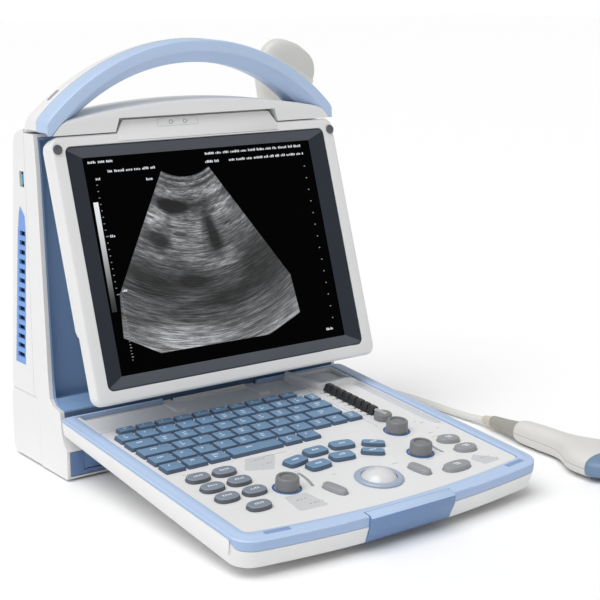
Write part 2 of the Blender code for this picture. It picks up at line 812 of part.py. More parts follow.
def keyboard(panel):
    """One moulding of keys on a web, which fills the opening in the deck."""
    left, right, rear, front = KEYBOARD
    web = (left + GAP, right - GAP, -front + GAP, -rear - GAP)
    bm_points = []
    bm_faces = []
    cells = []
    for back, depth, start, widths in key_rows():
        u = start
        for width in widths:
            cells.append((u, u + width, -(back + depth), -back))
            u += width + 1.7
    for a0, a1, b0, b1 in cells:
        first = len(bm_points)
        bm_points += [(a, b, -2.0) for a, b in rectangle(a0, a1, b0, b1)]
        bm_points += [(a, b, KEY_TOP - 1.6) for a, b in rectangle(a0, a1, b0, b1)]
        bm_points += [(a, b, KEY_TOP) for a, b in rectangle(a0 + 1.4, a1 - 1.4, b0 + 1.4, b1 - 1.4)]
        bm_faces += [tuple(first + i for i in (3, 2, 1, 0)), tuple(first + i for i in (8, 9, 10, 11))]
        for k in (0, 4):
            for a in range(4):
                b = (a + 1) % 4
                bm_faces.append(tuple(first + k + i for i in (a, b, b + 4, a + 4)))
    keys = mesh_object("keys", bm_points, bm_faces, key_blue())
    mat = box("keyboard_mat", web[:2], web[2:], (-3.1, DECK_W - 0.2), key_blue())
    fuse(mat, keys)
    return panel.hold(mat)


def oval_places():
    rows = [(-121.8, 170), (-96.5, 170), (-121.8, 191), (-96.0, 191), (-121.8, 212), (-96.0, 212.5)]
    return rows + [(-108.5, 236.5)]


def blade_places():
    """(u, v, turn) of the seven blue keys on their two arcs."""
    return [
        (-33, 182, 0.22), (-5.5, 173.5, 0.03), (23.5, 173.2, -0.16), (50, 184, -0.62),
        (-20.5, 197.5, 0.1), (8.5, 192.6, -0.12), (38, 198, -0.62),
    ]


def blade_outline(place):
    u, v, turn = place
    slim = abs(turn) > 0.5
    return turned(oval(10.6 if slim else 11.8, 5.0 if slim else 7.2, 12, 3.6), (u, -v), turn)


def oval_outline(place):
    return turned(oval(11.0, 7.4, 12, 2.3), (place[0], -place[1]), 0)


def keypad(panel, name, outlines, paint):
    """Keys that stand on the deck, on stems that join them to one web below it."""
    bars = []
    for i, outline in enumerate(outlines):
        middle = [sum(p[k] for p in outline) / len(outline) for k in (0, 1)]
        x, y = middle[0], middle[1]
        stem = prism_z(name + "_stem", rectangle(x - 2, x + 2, y - 2, y + 2), -9, 0.5)
        small = [(x + (a - x) * 0.86, y + (b - y) * 0.8) for a, b in outline]
        cap = skin(name + "_cap", [
            at_z(outline, DECK_W + GAP), at_z(outline, BUTTON_TOP - 1.2), at_z(small, BUTTON_TOP),
        ], paint)
        bars += [stem, cap]
    xs = [p[0] for outline in outlines for p in outline]
    ys = [p[1] for outline in outlines for p in outline]
    inset = 5
    plate = rectangle(min(xs) + inset, max(xs) - inset, min(ys) + 3, max(ys) - 3)
    mat = prism_z(name, plate, -9.2, -7.4, paint)
    fuse(mat, *bars)
    return panel.hold(mat)


def button_places():
    """Name, u, v, half length, half width, squareness and turn of each key that has its own plunger."""
    return [
        ("select_key_left", -37.0, 241.0, 12.0, 5.2, 3.0, -1.35),
        ("select_key_right", 49.5, 245.5, 11.6, 5.2, 3.0, -1.42),
        ("measure_key", 81.0, 257.0, 14.5, 7.6, 2.4, 0.05),
        ("freeze_key", 115.5, 231.0, 10.8, 7.2, 2.3, -0.2),
        ("store_key", 115.5, 209.0, 10.6, 7.2, 2.3, -0.35),
    ]


def button_outline(place, grow=0.0):
    name, u, v, half_a, half_b, squareness, turn = place
    return turned(oval(half_a + grow, half_b + grow, 14, squareness), (u, -v), turn)


def button_wells():
    return [prism_z("well", button_outline(p, 0.5), BUTTON_WELL, 2) for p in button_places()]


def button(panel, place):
    """A cap that presses down into its well in the deck."""
    centre = Vector((place[1], -place[2]))
    outline = [tuple(Vector(p) - centre) for p in button_outline(place)]
    small = [(a * 0.86, b * 0.78) for a, b in outline]
    cap = skin(place[0], [
        at_z(outline, DECK_W - 0.3), at_z(outline, BUTTON_TOP - 1.2), at_z(small, BUTTON_TOP),
    ], grey())
    return panel.hold(cap, (centre.x, centre.y, 0))


def knob_places():
    return [("gain_knob", -68.5, 218.6), ("depth_knob", 89.7, 169.0), ("menu_knob", 75.2, 217.5)]


def knob(panel, name, u, v):
    """A knurled cap on a stem through the deck."""
    profile = [(2.6, -9), (2.6, DECK_W + 0.4), (KNOB_R + 0.4, DECK_W + 0.4), (KNOB_R, KNOB_HEIGHT - 1.4)]
    profile += [(KNOB_R - 1.4, KNOB_HEIGHT), (KNOB_R - 3, KNOB_HEIGHT - 0.5)]
    loops = [at_z(circle(r, 18), z) for r, z in profile]
    return panel.hold(skin(name, loops, grey()), (u, -v, 0))


def dial(panel):
    profile = [(2.6, -9), (2.6, DECK_W + 0.4), (8.2, DECK_W + 0.4), (8.2, 4.6), (7.2, 5.6)]
    dial = skin("focus_dial", [at_z(circle(r, 16), z) for r, z in profile], grey())
    return panel.hold(dial, (97, -141, 0))


def slider_v(i):
    return SLIDER_V + SLIDER_PITCH * i


def slider(panel, i):
    """One gain slider: a tall finger cap on a blade through its slot."""
    thick = SLIDER_PITCH / 2 - 0.35
    cap = skin(f"gain_slider_{i + 1}", [
        at_z(rectangle(-1.6, 1.6, -0.8, 0.8), -8.6),
        at_z(rectangle(-1.6, 1.6, -0.8, 0.8), DECK_W + 0.4),
        at_z(rectangle(-5.0, 5.0, -thick, thick), DECK_W + 0.4),
        at_z(rectangle(-3.0, 3.0, -thick + 0.5, thick - 0.5), 6.6),
    ], dark())
    return panel.hold(cap, (SLIDER_U, -slider_v(i), 0))


def control_holes():
    """Holes through the deck: knob stems, the ball, the sliders' slots and the keypads' stems."""
    holes = [prism_z("stem_hole", circle(3.1, 10, (u, -v)), -12, 3) for name, u, v in knob_places()]
    holes.append(prism_z("dial_hole", circle(3.1, 10, (97, -141)), -12, 3))
    holes.append(prism_z("ball_hole", circle(BALL_R + 0.6, 20, (BALL_AT[0], -BALL_AT[1])), -12, 3))
    for i in range(SLIDER_COUNT):
        v = slider_v(i)
        holes.append(box("slot", (SLIDER_U - 7.4, SLIDER_U + 7.4), (-v - 1.3, -v + 1.3), (-12, 3)))
    for outline in [oval_outline(p) for p in oval_places()] + [blade_outline(p) for p in blade_places()]:
        a, b = (sum(p[k] for p in outline) / len(outline) for k in (0, 1))
        holes.append(box("hole", (a - 2.4, a + 2.4), (b - 2.4, b + 2.4), (-12, 3)))
    return holes


def trackball(panel):
    bm = bmesh.new()
    bmesh.ops.create_uvsphere(bm, u_segments=20, v_segments=12, radius=BALL_R * MM)
    mesh = bpy.data.meshes.new("trackball")
    bm.to_mesh(mesh)
    bm.free()
    obj = bpy.data.objects.new("trackball", mesh)
    bpy.context.scene.collection.objects.link(obj)
    mesh.materials.append(white())
    shaded(mesh, 180)
    return panel.hold(obj, (BALL_AT[0], -BALL_AT[1], BALL_W))


def ball_radius(w):
    """The ball's radius where it passes a height."""
    return math.sqrt(max(BALL_R**2 - (w - BALL_W) ** 2, 0))


def ball_ring(panel):
    inner_low = ball_radius(DECK_W) + 0.5
    profile = [
        (inner_low, DECK_W + GAP), (20.8, DECK_W + GAP), (20.8, 0.4), (19.2, 1.8), (16.2, 1.5),
        (ball_radius(1.2) + 0.5, 1.2),
    ]
    return panel.hold(skin("trackball_ring", [at_z(circle(r, 20), z) for r, z in profile], pale_blue(), ring=True),
                      (BALL_AT[0], -BALL_AT[1], 0))


def ball_cup(panel):
    profile = [
        (BALL_R + 0.6, -8), (BALL_R + 3.6, -8), (BALL_R + 3.6, -29), (12, -32.6), (0.01, -32.6),
    ]
    inside = [(0.01, -31), (8.5, -30.6), (BALL_R + 0.6, -20)]
    loops = [at_z(circle(r, 20), z) for r, z in inside + profile[:-1]]
    return panel.hold(skin("trackball_cup", loops, dark()), (BALL_AT[0], -BALL_AT[1], 0))


def panel_shaft(panel):
    across = [(-hinge_v() + a, hinge_w() + b) for a, b in circle(HINGE_R, 12)]
    return panel.hold(prism_x("panel_hinge_shaft", across, -72, 72, steel()))


def panel_foot(panel, name, u):
    v = 212.0
    top = underside(v) - GAP
    outline = [(u + a, -v + b) for a, b in circle(8, 14)]
    low = [(a, b, -(PANEL_REAR[2] + b * math.sin(PANEL_SLOPE)) / math.cos(PANEL_SLOPE)) for a, b in outline]
    foot = skin(name, [low, at_z(outline, top)], rubber())
    return panel.hold(foot)


# The probes and the lead.


def probe_sections(places):
    """Loops across Y, from (y, x, z, half width, half height, squareness)."""
    loops = []
    for y, x, z, a, b, squareness in places:
        loops.append([(x + p, y, z + q) for p, q in oval(a, b, 14, squareness)])
    return loops


def table_probe(tower):
    shell = [
        (-158.6, 249, 11.6, 9.4, 8.6, 2.2), (-175, 248.4, 11.9, 11.6, 10.4, 2.4), (-205, 247.4, 12, 12.6, 11.2, 2.6),
        (-224, 246.8, 12, 16.5, 11.4, 2.8), (-243, 246.2, 12, 27.5, 11.6, 3), (-256, 245.8, 12, 31.5, 11.6, 3),
        (-272, 245.4, 12, 32.4, 11.4, 3),
    ]
    lens = [
        (-272.3, 245.4, 12, 31.4, 9.8, 3), (-282, 245.2, 12, 29.8, 9.4, 3), (-290, 245, 12, 23, 8.6, 2.6),
        (-294, 245, 12, 13, 7.4, 2.4),
    ]
    relief = [
        (-115.5, 254.2, 9.2, 5.6, 5.6, 2), (-120, 253.6, 9.4, 6.2, 6.2, 2), (-158.3, 249.2, 11.4, 8.8, 8.4, 2),
    ]
    ferrule = [(-104.3, 255, 7.6, 4.4, 4.4, 2), (-117, 254.1, 9.1, 5.0, 5.0, 2)]
    tower.hold(skin("probe_shell", probe_sections(shell), white()))
    tower.hold(skin("probe_lens", probe_sections(lens), mid_blue()))
    boot = skin("probe_strain_relief", probe_sections(relief), grey())
    fuse(boot, skin("lead_ferrule", probe_sections(ferrule), None))
    tower.hold(boot)


def stored_probe(stored):
    """The second probe stands in its holder, leaning outwards. It is drawn along Z."""
    def loops(places):
        return [[(p, q, z) for p, q in oval(a, b, 14, squareness)] for z, a, b, squareness in places]

    shell = [
        (-30, 6.5, 6.5, 2), (-26, 9, 9, 2), (0, 12.5, 11.5, 2.2), (18, 14.5, 12, 2.4), (34, 25, 12.5, 2.6),
        (48, 33.5, 12.8, 2.8), (66, 36, 12.8, 2.8),
    ]
    lens = [(66.3, 35, 11.6, 2.8), (76, 32.6, 11.2, 2.8), (85, 25, 10.2, 2.6), (90, 14, 8.6, 2.4)]
    stored.hold(skin("stored_probe_shell", loops(shell), white()))
    stored.hold(skin("stored_probe_lens", loops(lens), white()))


def probe_holder(tower):
    """A ring on a bracket behind the tower."""
    ring = [(13.4, -6), (16.4, -6), (17, 8), (14.4, 8)]
    body = skin("probe_holder", [at_z(circle(r, 18), z) for r, z in ring], dark(), ring=True)
    stand = Matrix.Translation(Vector(STORED_AT) * MM) @ Matrix.Rotation(STORED_LEAN, 4, "Y")
    body.data.transform(stand)
    arm = [(86.6, 262), (83.9, 290), (90.5, 290), (90.5, 262)]
    plate = prism_x("holder_plate", arm, 110, 152)
    fuse(body, plate)
    clear = prism_z("holder_clear", circle(14.3, 18), -40, 20)
    clear.data.transform(stand)
    cut(body, clear)
    return tower.hold(body)


def plug(tower):
    outline = rounded([(73, 109, 4), (97, 109, 4), (97, 151, 4), (73, 151, 4)], 2)
    loops = [at_x(outline, 156.0), at_x(outline, 180), at_x(shrunk(outline, 0.9), 183)]
    body = skin("probe_plug", loops, grey())
    gland = skin("plug_gland", [
        [(170 + a, 85 + b, z) for a, b in circle(r, 12)] for r, z in ((6.0, 110), (6.0, 106), (4.6, 92))
    ], grey())
    fuse(body, gland)
    return tower.hold(body)


def shrunk(outline, share):
    a = sum(p[0] for p in outline) / len(outline)
    b = sum(p[1] for p in outline) / len(outline)
    return [(a + (p[0] - a) * share, b + (p[1] - b) * share) for p in outline]


def smooth_path(points, step):
    """A Catmull-Rom curve through the points, read every step millimetres."""
    knots = [Vector(p) for p in points]
    knots = [knots[0] * 2 - knots[1], *knots, knots[-1] * 2 - knots[-2]]
    fine = []
    for a, b, c, d in zip(knots, knots[1:], knots[2:], knots[3:]):
        for k in range(12):
            t = k / 12
            fine.append(0.5 * (2 * b + (c - a) * t + (2 * a - 5 * b + 4 * c - d) * t**2
                               + (3 * b - a - 3 * c + d) * t**3))
    fine.append(knots[-2])
    length = sum((q - p).length for p, q in zip(fine, fine[1:]))
    count = max(2, round(length / step))
    kept, walked, wanted = [fine[0]], 0.0, length / count
    for p, q in zip(fine, fine[1:]):
        part = (q - p).length
        while walked + part >= wanted * len(kept) - 1e-6 and len(kept) < count:
            kept.append(p.lerp(q, (wanted * len(kept) - walked) / part))
        walked += part
    kept.append(fine[-1])
    return kept


def lead(tower, name, route):
    curve = bpy.data.curves.new(name, "CURVE")
    curve.dimensions = "3D"
    curve.bevel_depth = LEAD_R * MM
    curve.bevel_resolution = 2
    curve.use_fill_caps = True
    path = smooth_path(route, 6 * LEAD_R)
    spline = curve.splines.new("POLY")
    spline.points.add(len(path) - 1)
    for point, place in zip(spline.points, path):
        point.co = (*(place * MM), 1)
    curve.materials.append(white())
    obj = bpy.data.objects.new(name, curve)
    bpy.context.scene.collection.objects.link(obj)
    return tower.hold(obj)


def coil(tower):
    inner, outer = COIL_MEAN_R - COIL_SIDE, COIL_MEAN_R + COIL_SIDE
    profile = [(inner, 3), (inner + 3, 0.2), (outer - 3, 0.2), (outer, 3), (outer, COIL_HEIGHT - 3)]
    profile += [(outer - 3, COIL_HEIGHT), (inner + 3, COIL_HEIGHT), (inner, COIL_HEIGHT - 3)]
    loops = [at_z(circle(r, 28, COIL_AT), z) for r, z in profile]
    return tower.hold(skin("lead_coil", loops, white(), ring=True))


def build_tower(tower):
    tower_front(tower)
    tower_rear(tower)
    battery(tower)
    bay(tower)
    lower_panel(tower)
    top_cap(tower)
    handle(tower)
    vent_grille(tower, "vent_grille_left", -1, VENT_LOW_LEFT)
    vent_grille(tower, "vent_grille_right", 1, VENT_LOW_RIGHT)
    main_board(tower)
    probe_socket(tower)
    base_plate(tower)
    screen_shaft(tower)
    probe_holder(tower)


def build_screen(screen):
    screen_frame(screen)
    bezel(screen)
    lcd(screen)
    screen_cover(screen)
    bumper(screen, "bumper_left", -147.0)
    bumper(screen, "bumper_right", 147.5)


def build_panel(panel):
    panel_base(panel)
    trim(panel)
    deck(panel)
    latch(panel)
    keyboard(panel)
    keypad(panel, "left_keypad", [oval_outline(p) for p in oval_places()], grey())
    keypad(panel, "function_keypad", [blade_outline(p) for p in blade_places()], key_blue())
    panel_shaft(panel)
    trackball(panel)
    ball_ring(panel)
    ball_cup(panel)
    dial(panel)
    panel_foot(panel, "panel_foot_left", -112.0)
    panel_foot(panel, "panel_foot_right", 112.0)
    for place in button_places():
        button(panel, place)
    for name, u, v in knob_places():
        knob(panel, name, u, v)
    for i in range(SLIDER_COUNT):
        slider(panel, i)


def build_lead(tower):
    table_probe(tower)
    plug(tower)
    lead(tower, "lead_from_plug", LEAD_FROM_PLUG)
    lead(tower, "lead_to_probe", LEAD_TO_PROBE)
    coil(tower)


def main():
    clear_scene()
    tower = Frame("tower_datum")
    screen = Frame("screen_tilt_axis", SCREEN_TOP, -SCREEN_TILT, -SCREEN_PIVOT_W, -SCREEN_PIVOT_V)
    panel = Frame("panel_fold_axis", PANEL_REAR, PANEL_SLOPE, -hinge_v(), hinge_w())
    stored = Frame("stored_probe_axis", STORED_AT)
    stored.empty.rotation_euler = (0, STORED_LEAN, 0)
    build_tower(tower)
    build_screen(screen)
    build_panel(panel)
    build_lead(tower)
    stored_probe(stored)


main()
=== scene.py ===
"""The ultrasound scanner's looks: fine surfaces, materials, the display's picture and the probe's lead.

Outlines are in millimetres, in the same frames as the solids: the tower's, the screen's, the panel's and the
second probe's. A matrix takes each of them to the scene, in metres. On the panel, u runs to the right, v
forward from its rear edge and w up. On the screen, u runs to the right and v down from its top.
"""

import math
import random

import bmesh
import bpy
from mathutils import Matrix, Vector


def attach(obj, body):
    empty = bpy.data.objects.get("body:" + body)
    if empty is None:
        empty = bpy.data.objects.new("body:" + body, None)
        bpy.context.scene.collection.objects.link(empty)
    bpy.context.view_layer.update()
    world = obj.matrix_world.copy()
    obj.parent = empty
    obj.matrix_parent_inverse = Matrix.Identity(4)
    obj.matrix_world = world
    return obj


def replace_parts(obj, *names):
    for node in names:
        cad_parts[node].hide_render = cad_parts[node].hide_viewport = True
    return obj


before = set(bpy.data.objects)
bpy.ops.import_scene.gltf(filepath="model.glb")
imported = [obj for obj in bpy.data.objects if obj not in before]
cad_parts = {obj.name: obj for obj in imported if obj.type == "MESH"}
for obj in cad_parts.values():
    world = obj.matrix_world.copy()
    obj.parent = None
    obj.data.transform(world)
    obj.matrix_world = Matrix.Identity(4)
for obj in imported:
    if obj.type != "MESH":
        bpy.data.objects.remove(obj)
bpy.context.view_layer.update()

MM = 0.001
SHARP = 32.0

# Where the frames are.

TOWER_DEPTH = 110.0
SCREEN_TILT = math.radians(17.78)
SCREEN_TOP = (0.0, 16.51, 305.34)
PANEL_SLOPE = math.radians(5.25)
PANEL_REAR = (0.0, 8.14, 59.02)
STORED_AT = (131.0, 101.5, 292.0)
STORED_LEAN = math.radians(27)

# The control panel.

PANEL_HALF = 157.6
PANEL_FRONT = 295.0
PANEL_BOW = 13.0
PANEL_CORNER = 20.0
UNDERSIDE_REAR = 16.6
UNDERSIDE_DROP = 9.2
TRIM_EDGE = 2.2
TRIM_DROP = 6.8
TRIM_DROP_FROM = 262.0
TRIM_DROP_OVER = 14.0
LATCH_GAP = (-44.5, 44.5)
DECK_W = -1.0
INK = 0.05
KEY_TOP = 2.4
KEY_GAP = 1.7
BUTTON_TOP = 2.8
BALL_R = 19.0
BALL_AT = (9.3, 240.6)
BALL_W = -11.0
DIAL_AT = (97.0, -141.0)
SLIDER_U = 98.0
SLIDER_V = 61.0
SLIDER_PITCH = 9.2

# The screen.

WINDOW_HALF = 123.0
WINDOW_TOP = 19.5
WINDOW_BOTTOM = 211.4
GLASS_Y = 4.95
PICTURE_Y = 4.9
CAPTION = 2.4
SCALE_TOP = 59.0
SCALE_LENGTH = 96.5

# The tower's handle, and the lead.

HANDLE_CENTRE = 172.5
HANDLE_HALF = 153.5
HANDLE_FOOT = 305.8
HANDLE_SPREAD = math.radians(47)
HANDLE_SWEEP = math.radians(50)
STRIP_AT = math.radians(-40.5)
STRIP_R = 212.0
LEAD_R = 3.5
COIL_AT = (115.0, 178.0)

rng = random.Random(7)


def placed(datum, tilt):
    """A frame's matrix, from its own millimetres to the scene's metres."""
    back = (datum[0], datum[1] - TOWER_DEPTH / 2, datum[2])
    return Matrix.Scale(MM, 4) @ Matrix.Translation(back) @ Matrix.Rotation(tilt, 4, "X")


TOWER = placed((0, 0, 0), 0)
SCREEN = placed(SCREEN_TOP, -SCREEN_TILT)
PANEL = placed(PANEL_REAR, PANEL_SLOPE)
STORED = placed(STORED_AT, 0) @ Matrix.Rotation(STORED_LEAN, 4, "Y")
FRAMES = {"tower": TOWER, "screen": SCREEN, "stored_probe": STORED}


def frame_of(body):
    """The frame of a body's pieces. The keys, the knobs and the other controls share the panel's."""
    return FRAMES.get(body, PANEL)


def linked(name, data):
    """A new object in the scene."""
    obj = bpy.data.objects.new(name, data)
    bpy.context.scene.collection.objects.link(obj)
    return obj


def feed(tree, socket, value):
    """Sets an input to a value, or links the socket that feeds it."""
    if isinstance(value, bpy.types.NodeSocket):
        tree.links.new(value, socket)
    else:
        socket.default_value = value


def set_inputs(tree, made, inputs):
    for name, value in inputs.items():
        feed(tree, made.inputs[name.replace("_", " ")], value)
    return made


def node(tree, kind, **inputs):
    return set_inputs(tree, tree.nodes.new(kind), inputs)


def principled(name, **inputs):
    """A new material, its node tree and its shader."""
    made = bpy.data.materials.new(name)
    made.use_nodes = True
    shader = made.node_tree.nodes["Principled BSDF"]
    return made, made.node_tree, set_inputs(made.node_tree, shader, inputs)


# Camera, lights and floor.


def camera():
    data = bpy.data.cameras.new("camera")
    data.sensor_width = 36
    data.lens = 84.16
    obj = linked("camera", data)
    obj.location = (-0.69941, -1.12116, 0.43034)
    obj.rotation_euler = (math.radians(90 - 12.6), 0, math.radians(-36.93))
    bpy.context.scene.camera = obj


def sky():
    """A white surround. It is brighter where it is seen than where it lights, as a studio backdrop is."""
    world = bpy.data.worlds.new("studio")
    world.use_nodes = True
    tree = world.node_tree
    path = tree.nodes.new("ShaderNodeLightPath")
    level = node(tree, "ShaderNodeMapRange", Value=path.outputs["Is Camera Ray"], To_Min=0.49, To_Max=1.0)
    set_inputs(tree, tree.nodes["Background"], {"Color": (1, 1, 1, 1), "Strength": level.outputs["Result"]})
    bpy.context.scene.world = world


def studio():
    """One wide soft light from the camera's upper left, and a weak one at the side."""
    bpy.context.scene.view_settings.view_transform = "Standard"
    sky()
    data = bpy.data.lights.new("softbox", "SUN")
    data.energy = 1.95
    data.angle = math.radians(50)
    lamp = linked("softbox", data)
    lamp.rotation_euler = Vector((-0.46, -0.12, 0.9)).to_track_quat("Z", "Y").to_euler()
    data = bpy.data.lights.new("side", "AREA")
    data.shape = "RECTANGLE"
    data.size, data.size_y = 1.4, 1.4
    data.energy = 2.0
    side = linked("side", data)
    side.location = (-2.2, -0.4, 1.0)
    aim = Vector((0, 0, 0.15)) - Vector(side.location)
    side.rotation_euler = aim.to_track_quat("-Z", "Y").to_euler()
    bpy.ops.mesh.primitive_plane_add(size=30)
    floor = bpy.context.object
    floor.name = "floor"
    floor.location.z = -0.0004
    paper = {"Base_Color": (0.97, 0.97, 0.97, 1), "Roughness": 0.9, "Specular_IOR_Level": 0.1}
    paint, _, _ = principled("floor_paper", **paper)
    floor.data.materials.append(paint)


# Materials. Each has its own noise for colour, roughness and the moulded surface.


def noise(tree, scale, detail, stretch=None):
    """A noise texture over the object's own space."""
    where = tree.nodes.new("ShaderNodeTexCoord").outputs["Object"]
    if stretch:
        where = node(tree, "ShaderNodeMapping", Scale=stretch, Vector=where).outputs["Vector"]
    return node(tree, "ShaderNodeTexNoise", Scale=scale, Detail=detail, Vector=where).outputs["Fac"]


def ranged(tree, value, low, high, start=0.25, end=0.75):
    limits = {"From_Min": start, "From_Max": end, "To_Min": low, "To_Max": high}
    return node(tree, "ShaderNodeMapRange", Value=value, **limits).outputs["Result"]


def surface(
    name, colour, rough, grain, bump, vary, metallic=0.0, coat=0.0, stretch=None, gloss=0.5
):
    """A moulded or machined surface: colour and gloss that wander a little over a fine grain."""
    made, tree, shader = principled(name, Metallic=metallic, Coat_Weight=coat, Specular_IOR_Level=gloss)
    shade = node(tree, "ShaderNodeMixRGB")
    feed(tree, shade.inputs[0], ranged(tree, noise(tree, 14, 3), 0, 1))
    shade.inputs[1].default_value = (*[max(c * (1 - vary), 0) for c in colour], 1)
    shade.inputs[2].default_value = (*[min(c * (1 + vary), 1) for c in colour], 1)
    height = noise(tree, grain, 2, stretch)
    lift = node(tree, "ShaderNodeBump", Strength=bump, Distance=0.0004, Height=height)
    set_inputs(tree, shader, {
        "Base_Color": shade.outputs[0],
        "Roughness": ranged(tree, noise(tree, 60, 3), rough * 0.9, rough * 1.12),
        "Normal": lift.outputs["Normal"],
    })
    made.diffuse_color = (*colour, 1)
    return made


def glowing(name, colour, strength):
    """Ink of light on the display, a little uneven, as a lit panel is."""
    made, tree, shader = principled(name, Base_Color=(0.02, 0.02, 0.02, 1), Emission_Color=(*colour, 1))
    level = ranged(tree, noise(tree, 900, 2), strength * 0.8, strength)
    feed(tree, shader.inputs["Emission Strength"], level)
    return made, tree, shader


def scan_material():
    """A fan of speckle in polar coordinates: u runs across the fan and v down it."""
    black, white = (0.002, 0.002, 0.002, 1), (0.93, 0.96, 1.0, 1)
    made, tree, shader = principled("scan_picture", Base_Color=black, Roughness=0.35, Emission_Color=white)
    where = tree.nodes.new("ShaderNodeUVMap").outputs["UV"]

    def texture(stretch, detail, distortion=0.0):
        spread = node(tree, "ShaderNodeMapping", Scale=stretch, Vector=where).outputs["Vector"]
        grain = {"Scale": 1, "Detail": detail, "Distortion": distortion}
        return node(tree, "ShaderNodeTexNoise", Vector=spread, **grain).outputs["Fac"]

    def maths(operation, *values):
        made_math = tree.nodes.new("ShaderNodeMath")
        made_math.operation = operation
        for socket, value in zip(made_math.inputs, values):
            feed(tree, socket, value)
        return made_math.outputs[0]

    def product(value, *others):
        for other in others:
            value = maths("MULTIPLY", value, other)
        return value

    speckle = texture((13, 150, 1), 5, 0.2)
    fine = texture((70, 320, 1), 2)
    streaks = texture((3.5, 60, 1), 4, 0.5)
    clouds = texture((5.0, 7.0, 1), 3, 0.6)
    u, v, _ = node(tree, "ShaderNodeSeparateXYZ", Vector=where).outputs
    ramp = tree.nodes.new("ShaderNodeValToRGB")
    tree.links.new(v, ramp.inputs[0])
    stops = [
        (0.0, 0.25), (0.012, 0.8), (0.028, 0.2), (0.04, 0.85), (0.055, 0.3), (0.085, 0.75), (0.12, 0.7),
        (0.15, 0.22), (0.19, 0.3), (0.26, 0.55), (0.45, 0.42), (0.62, 0.26), (0.8, 0.36), (0.88, 0.5),
        (1.0, 0.42),
    ]
    for place, level in stops:
        ramp.color_ramp.elements.new(place).color = (level,) * 3 + (1,)

    def blob(at_u, at_v, half_u, half_v, depth, inner, outer):
        """1 outside an ellipse with a ragged edge, and 1 + depth inside it."""
        du = maths("DIVIDE", maths("SUBTRACT", u, at_u), half_u)
        dv = maths("DIVIDE", maths("SUBTRACT", v, at_v), half_v)
        far = maths("SQRT", maths("ADD", product(du, du), product(dv, dv)))
        ragged = maths("ADD", far, product(maths("SUBTRACT", clouds, 0.5), 0.9))
        return ranged(tree, ragged, 1 + depth, 1.0, inner, outer)

    value = product(ramp.outputs[0], product(maths("POWER", speckle, 1.6), 2.6), maths("ADD", fine, 0.5))
    value = product(value, product(maths("POWER", streaks, 1.5), 2.8))
    value = product(maths("POWER", value, 1.25), 0.34)
    for spot in (
        (0.26, 0.175, 0.24, 0.042, -0.97, 0.7, 1.1), (0.07, 0.24, 0.10, 0.09, 1.5, 0.4, 1.2),
        (0.15, 0.38, 0.13, 0.05, -0.85, 0.5, 1.2), (0.40, 0.32, 0.16, 0.17, 0.7, 0.85, 1.05),
        (0.645, 0.34, 0.08, 0.14, -0.93, 0.5, 1.15), (0.84, 0.19, 0.15, 0.09, 1.7, 0.4, 1.2),
        (0.33, 0.325, 0.07, 0.012, -0.75, 0.8, 1.2), (0.415, 0.585, 0.14, 0.045, -0.8, 0.5, 1.2),
        (0.69, 0.5, 0.16, 0.055, 1.1, 0.4, 1.2), (0.16, 0.62, 0.22, 0.09, -0.7, 0.4, 1.2),
        (0.63, 0.7, 0.2, 0.07, -0.75, 0.5, 1.2), (0.36, 0.88, 0.22, 0.06, 1.6, 0.4, 1.2),
        (0.9, 0.6, 0.2, 0.2, -0.6, 0.4, 1.2), (0.12, 0.47, 0.16, 0.03, 0.8, 0.4, 1.2),
    ):
        value = product(value, blob(*spot))
    feed(tree, shader.inputs["Emission Strength"], value)
    return made


PAINT = {}


